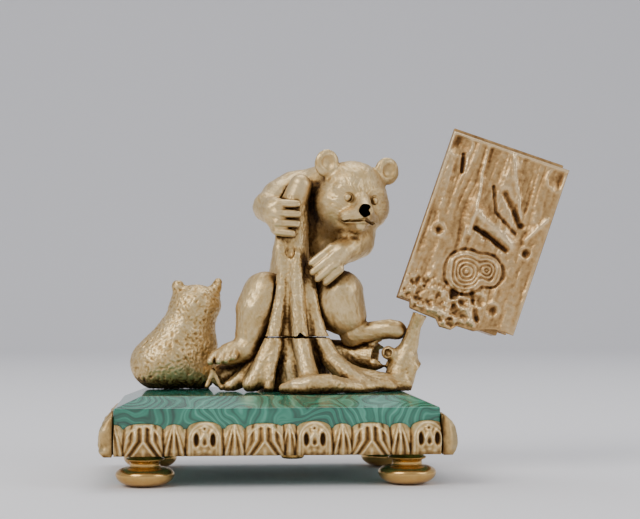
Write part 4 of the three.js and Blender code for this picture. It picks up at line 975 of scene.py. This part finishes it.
def headForm():
    sides = (-1, 1)
    ovalAt = lambda key, side=1: oval(mirrored(head[key][0], side), head[key][1])
    ballAt = lambda key, side: ball(mirrored(head[key][0], side), head[key][1])
    chainAt = lambda key, side=1: chain([mirrored(station, side) for station in head[key]])
    mass = blend(softness["skull"], [ovalAt("skull"), *[ovalAt("cheek", s) for s in sides], chainAt("throat")])
    face = blend(softness["face"], [
        mass, chainAt("bridge"), chainAt("muzzle"), chainAt("chin"),
        *[chainAt("brow", s) for s in sides], *[chainAt("lip", s) for s in sides],
    ])
    ears = [blend(softness["ear"], [ovalAt("ear", s), chainAt("earRoot", s)]) for s in sides]
    withEars = blend(softness["onHead"], [face, ovalAt("nose"), *ears])
    cut = carve(softness["faceCut"], withEars, [
        *[ballAt("nostril", s) for s in sides], *[chainAt("mouth", s) for s in sides],
        *[ballAt("eyeSocket", s) for s in sides], *[ovalAt("earHollow", s) for s in sides],
    ])
    return blend(softness["eye"], [cut, *[ballAt("eye", s) for s in sides]])


headPlace = headFrame(*head["place"])


def onHead(place):
    axes = np.array([headPlace["right"], headPlace["forward"], headPlace["up"]])
    return np.array(headPlace["origin"]) + np.array(place, float) @ axes


def bearForm(treeShape):
    masses = ["torso", "shoulder", "chest", "rightInnerThigh", "leftLeg", "rightLeg", "tail"]
    body = blend(softness["body"], [ball(*bear["rump"]), oval(*bear["belly"]), *[chain(bear[m]) for m in masses]])
    arms = [chain(bear[m]) for m in ("leftArm", "leftPalm", "rightArm", "rightPalm")]
    withArms = blend(softness["arm"], [body, *arms])
    withFeet = blend(softness["foot"], [withArms, chain(bear["leftFoot"]), chain(bear["rightFoot"])])
    withHead = blend(softness["neck"], [withFeet, inFrame(headPlace, headForm())])
    radius, tip = bear["digitRadius"], bear["digitRadius"] * bear["tipShare"]
    toes = blend(softness["toe"], [limb(a, radius, b, tip) for a, b in bear["toes"]])
    fingers = blend(softness["finger"], [limb(a, radius, b, tip) for a, b in bear["fingers"]])
    whole = blend(softness["digit"], [withHead, toes, fingers])
    return lambda p: np.maximum(whole(p), bear["clearOfTree"] - treeShape(p))


# ---------------------------------------------------------------- cub
cub = {
    "haunch": ([-38.4, 14.5, 39.4], [13, 11.8, 10.6]),
    "rightHaunch": ([-28.4, 17, 37.4], [9, 10.4, 9.4]),
    "back": [[-35.2, 14.5, 44.6, 10.4], [-30, 15, 55, 8.2]],
    "flank": [[-27.4, 16, 46, 8], [-27.6, 16, 54, 6.6]],
    "foreLeg": [[-29.5, 21, 52, 4.6], [-26, 25, 38, 3.6], [-25.5, 26, 32, 3.4]],
    "otherForeLeg": [[-36, 23, 50, 4.6], [-36, 26.5, 38, 3.6], [-36.5, 27, 32, 3.4]],
    "head": ([-27.6, 16, 60.4], [9.4, 9, 7.6]),
    "muzzle": [[-25.5, 22.5, 58.4, 4], [-24.2, 27, 57.2, 2.6]],
    "ears": [[[-33.2, 15, 64.6, 3], [-34, 14.6, 67.2, 2.4]], [[-21, 15.6, 65, 2.6], [-19.4, 15.4, 68.6, 1.7]]],
    "box": ([-55, -3, 28], [-11, 34, 76]), "step": 0.34, "ground": 30.2,
    "curls": {"spacing": 1.25, "length": 2.3, "width": 1.35, "sway": 1.6, "curl": 0.3, "seed": 41, "high": 0.42},
}


def cubForm():
    masses = [oval(*cub[m]) for m in ("haunch", "rightHaunch", "head")]
    trunk = blend(softness["cubBody"], [*masses, chain(cub["back"]), chain(cub["flank"])])
    limbs = [chain(cub[m]) for m in ("foreLeg", "otherForeLeg", "muzzle")]
    return blend(softness["cubLimb"], [trunk, *limbs, *[chain(ear) for ear in cub["ears"]]])


def chased(mesh, flow, layers, spots, forms, lowest=None):
    # raises each layer of strokes on the mesh and returns a share per point for the gilt's colour: how bare of patina
    # it is, with painted shade darkening folds and recesses by their openness
    points, normals = pointsOf(mesh), normalsOf(mesh)
    fade = fadeNear(points, spots)
    free = openness(points, normals, forms)
    height = np.zeros(len(points))
    crest = np.zeros(len(points))
    for look in layers:
        strokes = strokeRelief(points, normals, flow, look)
        height += look["high"] * (strokes - 0.75)
        crest += strokes / len(layers)
    moved = points + normals * (height * (0.12 + 0.88 * fade))[:, None]
    if lowest is not None:
        moved[:, 2] = np.maximum(moved[:, 2], lowest)
    setPoints(mesh, moved)
    smoothShading(mesh)
    detail = crest * fade + 0.62 * (1 - fade)
    # closed folds and recesses get painted shade and open places are lighter; stroke crests are rubbed lighter and
    # their hollows hold patina
    return np.clip(0.62 * smoothstep(0.15, 0.95, free) + 0.62 * (detail - 0.28), 0, 1)


treeShape = treeForm()
bearShape = bearForm(treeShape)
cubShape = cubForm()
slabShape = lambda p: p[:, 2] - slab["top"]
groundTop = slab["top"] + 0.1

rootsShape = within(
    treeShape,
    lambda p: groundTop - p[:, 2],
    lambda p: np.where(p[:, 0] < holder["ledgeTo"], p[:, 2] - (tree["seam"] - gap / 2), p @ leanAxis - plateFoot),
)
mesh = modelled("treeRoots", rootsShape, *tree["rootsBox"], tree["step"])
flow = flowAlong(pointsOf(mesh), normalsOf(mesh), linesOf(
    tree["trunk"], *tree["strands"], *tree["roots"], tree["frontMound"], tree["log"], tree["stump"], tree["branch"],
))
bare = chased(mesh, flow, [tree["bark"], tree["grit"]], [], [treeShape, bearShape, slabShape], groundTop)
addPiece("treeRoots", mesh, "tree_roots", gilt, {"bare": bare})

trunkShape = within(
    treeShape, lambda p: tree["seam"] + gap / 2 - p[:, 2], lambda p: p[:, 0] - holder["ledgeTo"],
)
mesh = modelled("treeTrunk", trunkShape, *tree["trunkBox"], tree["trunkStep"])
flow = flowAlong(pointsOf(mesh), normalsOf(mesh), linesOf(tree["trunk"], *tree["strands"]))
bare = chased(mesh, flow, [tree["bark"], tree["grit"]], tree["smooth"], [treeShape, bearShape], tree["seam"] + gap / 2)
addPiece("treeTrunk", mesh, "tree_trunk", gilt, {"bare": bare})

mesh = modelled("bearBody", bearShape, *bear["box"], bear["step"], bear["spots"])
noseTip = onHead([0, 17, -5])
hairLines = linesOf(
    [*reversed(bear["torso"]), bear["rump"][0]], bear["leftArm"], bear["leftPalm"], bear["rightArm"], bear["rightPalm"],
    bear["leftLeg"], bear["rightLeg"], bear["leftFoot"], bear["rightFoot"], bear["tail"], *bear["fingers"], *bear["toes"],
    [onHead([0, 12, 0]), onHead([0, 6, 11]), onHead([0, -8, 9]), onHead([-2, -12, -4])],
    *[[onHead([3 * s, 13, -4]), onHead([8 * s, 7, -3]), onHead([12 * s, -2, -2]), onHead([10 * s, -9, -8])] for s in (-1, 1)],
    *[[onHead([2 * s, 12, -10]), onHead([5 * s, 6, -12]), onHead([5 * s, 0, -16])] for s in (-1, 1)],
    *[[onHead([9 * s, 1, 6]), onHead([12 * s, 2, 14])] for s in (-1, 1)],
)
flow = flowAlong(pointsOf(mesh), normalsOf(mesh), hairLines)
smoothSpots = [
    (noseTip, 5.5), (onHead([5, 11, -1.4]), 3.6), (onHead([-5, 11, -1.4]), 3.6), (onHead([0, 14, -10]), 4.5),
    (onHead([11.8, 4.2, 10.6]), 3.6), (onHead([-11.8, 4.2, 10.6]), 3.6),
    *[((np.array(a) * 0.35 + np.array(b) * 0.65), 3.4) for a, b in (*bear["fingers"], *bear["toes"])],
]
bare = chased(mesh, flow, [bear["locks"], bear["hairs"]], smoothSpots, [treeShape, bearShape])
addPiece("bearBody", mesh, "bear", gilt, {"bare": bare})

cubOnSlab = within(cubShape, lambda p: cub["ground"] - p[:, 2])
mesh = modelled("cubBody", cubOnSlab, *cub["box"], cub["step"])
flow = flowAlong(pointsOf(mesh), normalsOf(mesh), linesOf(
    list(reversed(cub["back"])), cub["foreLeg"], cub["otherForeLeg"], cub["muzzle"],
))
bare = chased(mesh, flow, [cub["curls"]], [], [cubShape, slabShape], cub["ground"])
addPiece("cubBody", mesh, "cub", gilt, {"bare": bare})

# ---------------------------------------------------------------- holder plates
burl = {
    "grain": [(13.6, 62), (14.6, 50), (15.9, 44.7), (16.6, 36.2), (16.9, 29.1)],
    "vein": [(22.6, 62), (25.4, 55), (29.2, 47.8), (31.6, 42), (32.9, 39.0)],
    "hollow": [(24.5, 46.9), (28.8, 42.6), (33.4, 37.7)], "groove": [(19.8, 47.9), (23.5, 39.3), (32.3, 34.4)],
    "slit": [(6, 55.3), (7.5, 49.1)], "beak": [(17.6, 37.2), (22.2, 34.8), (27.2, 32.7), (31.8, 30.2)],
    "underBeak": [(18.6, 31.6), (23.8, 30.4), (31.2, 27.6)], "bead": (22.6, 28.2),
    "lobes": [((20.3, 15.8), 6.9), ((27.0, 18.6), 5.2)],
    "pits": [((17.9, 7.1), 1.5), ((22.9, 5.0), 1.3), ((27.8, 7.6), 1.5), ((33.4, 6.0), 1.4), ((6.2, 27.0), 1.3),
             ((38.1, 28.9), 1.2), ((3.4, 58.5), 2.6), ((41.0, 57.4), 2.4)],
    "tongue": [(20.5, 5.8), (26.3, 1.4)], "brownRun": [(24.4, 9.7), (29.3, 1.0)],
    "lowRidge": [(4.9, -0.6), (16.2, -0.7), (28.5, -0.8)], "rightRidge": [(36.4, 33), (38, 36), (41.5, 42.4)],
    "lip": [
        (0, 0), (4.6, -0.2), (5.6, -2.8), (11.6, -3.2), (15.6, -3.4), (17.6, -5.6), (21.8, -5.4),
        (23.4, -3.4), (29.6, -3.2), (32.6, -1.5), (36.2, -0.2), (43.4, 0),
    ],
}


def fromPath(a, b, path):
    nearest = np.full(a.shape, 1e9)
    for (ax, bx), (ay, by) in zip(path, path[1:]):
        lengthSquared = (ay - ax) ** 2 + (by - bx) ** 2
        t = np.clip(((a - ax) * (ay - ax) + (b - bx) * (by - bx)) / lengthSquared, 0, 1)
        nearest = np.minimum(nearest, np.hypot(a - ax - t * (ay - ax), b - bx - t * (by - bx)))
    return nearest


def burlRelief(a, b):
    flat = np.stack([a.ravel(), b.ravel(), 0 * a.ravel()], 1)
    noise = lambda size, offset=0.0: softNoise(flat, np.array(size), offset).reshape(a.shape) - 0.5
    lobes = [np.hypot(a - x, b - y) - radius for (x, y), radius in burl["lobes"]]
    lobe = softMin(lobes[0], lobes[1], 1.5) + 1.4 * noise((4, 4, 1), 3.3)
    inLobe = smoothstep(0.8, -0.6, lobe)
    bend = 2.4 * noise((9, 16, 1), 1.7)
    warped = np.stack([(a + bend).ravel(), b.ravel(), 0 * a.ravel()], 1)
    streaks = softNoise(warped, np.array((0.75, 8, 1)), 0.5).reshape(a.shape) - 0.5
    wide = softNoise(warped, np.array((2.4, 13, 1)), 4.5).reshape(a.shape) - 0.5
    lumps = noise((1.7, 1.7, 1), 7.1) + 0.6 * noise((0.8, 0.8, 1), 2.2)
    low = smoothstep(13, 6, b) * smoothstep(30, 22, a)
    relief = 0.4 * np.sin(a * 0.5 + b * 0.16) + (0.5 * streaks + 1.1 * wide) * (1 - inLobe) * (1 - 0.6 * low)
    relief += 0.95 * inLobe - 0.5 * ridge(lobe - 0.9, 0.5)
    relief += 0.34 * np.sin(lobe * 4.2 + 2.2 * noise((3, 3, 1), 9.4)) * inLobe
    relief += 1.3 * lumps * low + 0.3 * lumps
    relief += 1.0 * ridge(fromPath(a, b, burl["grain"]), 0.9) + 0.8 * ridge(fromPath(a, b, burl["vein"]), 0.9)
    relief += 1.9 * ridge(fromPath(a, b, burl["beak"]), 2.1) - 1.5 * ridge(fromPath(a, b, burl["underBeak"]), 0.8)
    relief += 1.2 * ridge(np.hypot(a - burl["bead"][0], b - burl["bead"][1]), 0.7)
    relief -= 1.6 * ridge(fromPath(a, b, burl["hollow"]), 1.2) + 0.8 * ridge(fromPath(a, b, burl["groove"]), 0.6)
    relief -= 1.2 * ridge(fromPath(a, b, burl["slit"]), 0.6) + 1.2 * ridge(fromPath(a, b, burl["brownRun"]), 0.9)
    relief += 1.1 * ridge(fromPath(a, b, burl["tongue"]), 1.5) + 0.9 * ridge(fromPath(a, b, burl["lowRidge"]), 1.2)
    relief += 0.9 * ridge(fromPath(a, b, burl["rightRidge"]), 0.9)
    for (x, y), radius in burl["pits"]:
        reach = np.hypot(a - x, b - y)
        relief += -1.25 * ridge(reach, radius) + 0.35 * ridge(reach - 1.8 * radius, 0.6)
    return relief


def frontPlateMesh():
    width, height = holder["width"], holder["height"]
    columns, rows = int(width / holder["step"]), int(height / holder["step"])
    across = np.linspace(0, width, columns + 1)
    lipAt, lipDown = zip(*burl["lip"])
    low = np.interp(across, lipAt, lipDown)
    a = np.broadcast_to(across[:, None], (columns + 1, rows + 1))
    b = low[:, None] + (height - low[:, None]) * np.linspace(0, 1, rows + 1)
    relief = burlRelief(a, b)
    inward = np.minimum.reduce([a, width - a, height - b, b - low[:, None] + 0.2])
    rim = 0.55 * ridge(np.minimum(a, height - b) - 0.7, 0.5)
    out = relief * smoothstep(0.2, 2.0, inward) + rim
    out -= 0.75 * (1 - np.sqrt(np.clip(1 - (1 - np.clip(inward / 0.75, 0, 1)) ** 2, 0, 1)))
    front = np.stack([a - width / 2, -out, b - height / 2], -1)
    back = np.stack([a - width / 2, np.full(a.shape, holder["frontThickness"]), b - height / 2], -1)
    mesh = panelMesh("frontPlate", front, back)
    mesh.transform(holderPlace)
    # darker in the relief's hollows: the fine ones hold patina and painted shade, the broad ones painted shade; the
    # back face, looking into the gap between the plates, gets an even darker value as painted shade
    bare = np.clip(0.6 + 0.5 * (out - blurred(out, 5)) + 0.13 * (out - blurred(out, 18)), 0, 1)
    return mesh, np.concatenate([bare.ravel(), np.full(bare.size, 0.45)])


def boxForm(middle, half, rounding):
    middle, half = np.array(middle, float), np.array(half, float) - rounding

    def form(p):
        q = np.abs(p - middle) - half
        return np.linalg.norm(np.maximum(q, 0), axis=1) + np.minimum(q.max(1), 0) - rounding
    return form


def backPlateMesh():
    inner = holder["frontThickness"] + holder["clearGap"]
    thick, rise = holder["backThickness"], holder["backRise"]
    plate = boxForm(
        [0, inner + thick / 2, rise / 2], [holder["backWidth"] / 2, thick / 2, (holder["height"] + rise) / 2], 0.35,
    )
    start, end = holder["frontThickness"] + gap, inner + thick / 2
    ledgeMiddle = (holder["ledgeFrom"] + holder["ledgeTo"] - holder["width"]) / 2
    top = -holder["height"] / 2 + holder["ledgeOverlap"]
    ledge = boxForm(
        [ledgeMiddle, (start + end) / 2, top - holder["ledgeDrop"] / 2],
        [(holder["ledgeTo"] - holder["ledgeFrom"]) / 2, (end - start) / 2, holder["ledgeDrop"] / 2], 0.4,
    )
    both = blend(0.5, [plate, ledge])
    mesh = modelled("backPlate", both, [-23, 1, -36], [23, 22, 37], 0.5)
    points, normals = pointsOf(mesh), normalsOf(mesh)
    streaks = softNoise(points + np.array([50, 50, 50]), np.array((1.3, 6, 9))) - 0.5
    onBack = smoothstep(0.5, 0.95, normals[:, 1])
    points -= normals * (0.22 * (0.5 + streaks) * onBack)[:, None]
    setPoints(mesh, points)
    smoothShading(mesh)
    # an even value a little darker than the front plate is painted shade inside the holder; the streaks on the outer
    # back face are the metal's own tone
    bare = np.clip(0.5 + 0.5 * streaks * onBack, 0, 1)
    mesh.transform(holderPlace)
    return mesh, bare


mesh, bare = frontPlateMesh()
addPiece("frontPlate", mesh, "matchbox_front_plate", brownGilt, {"bare": bare})
mesh, bare = backPlateMesh()
addPiece("backPlate", mesh, "matchbox_back_plate", brownGilt, {"bare": bare})

bpy.context.view_layer.update()
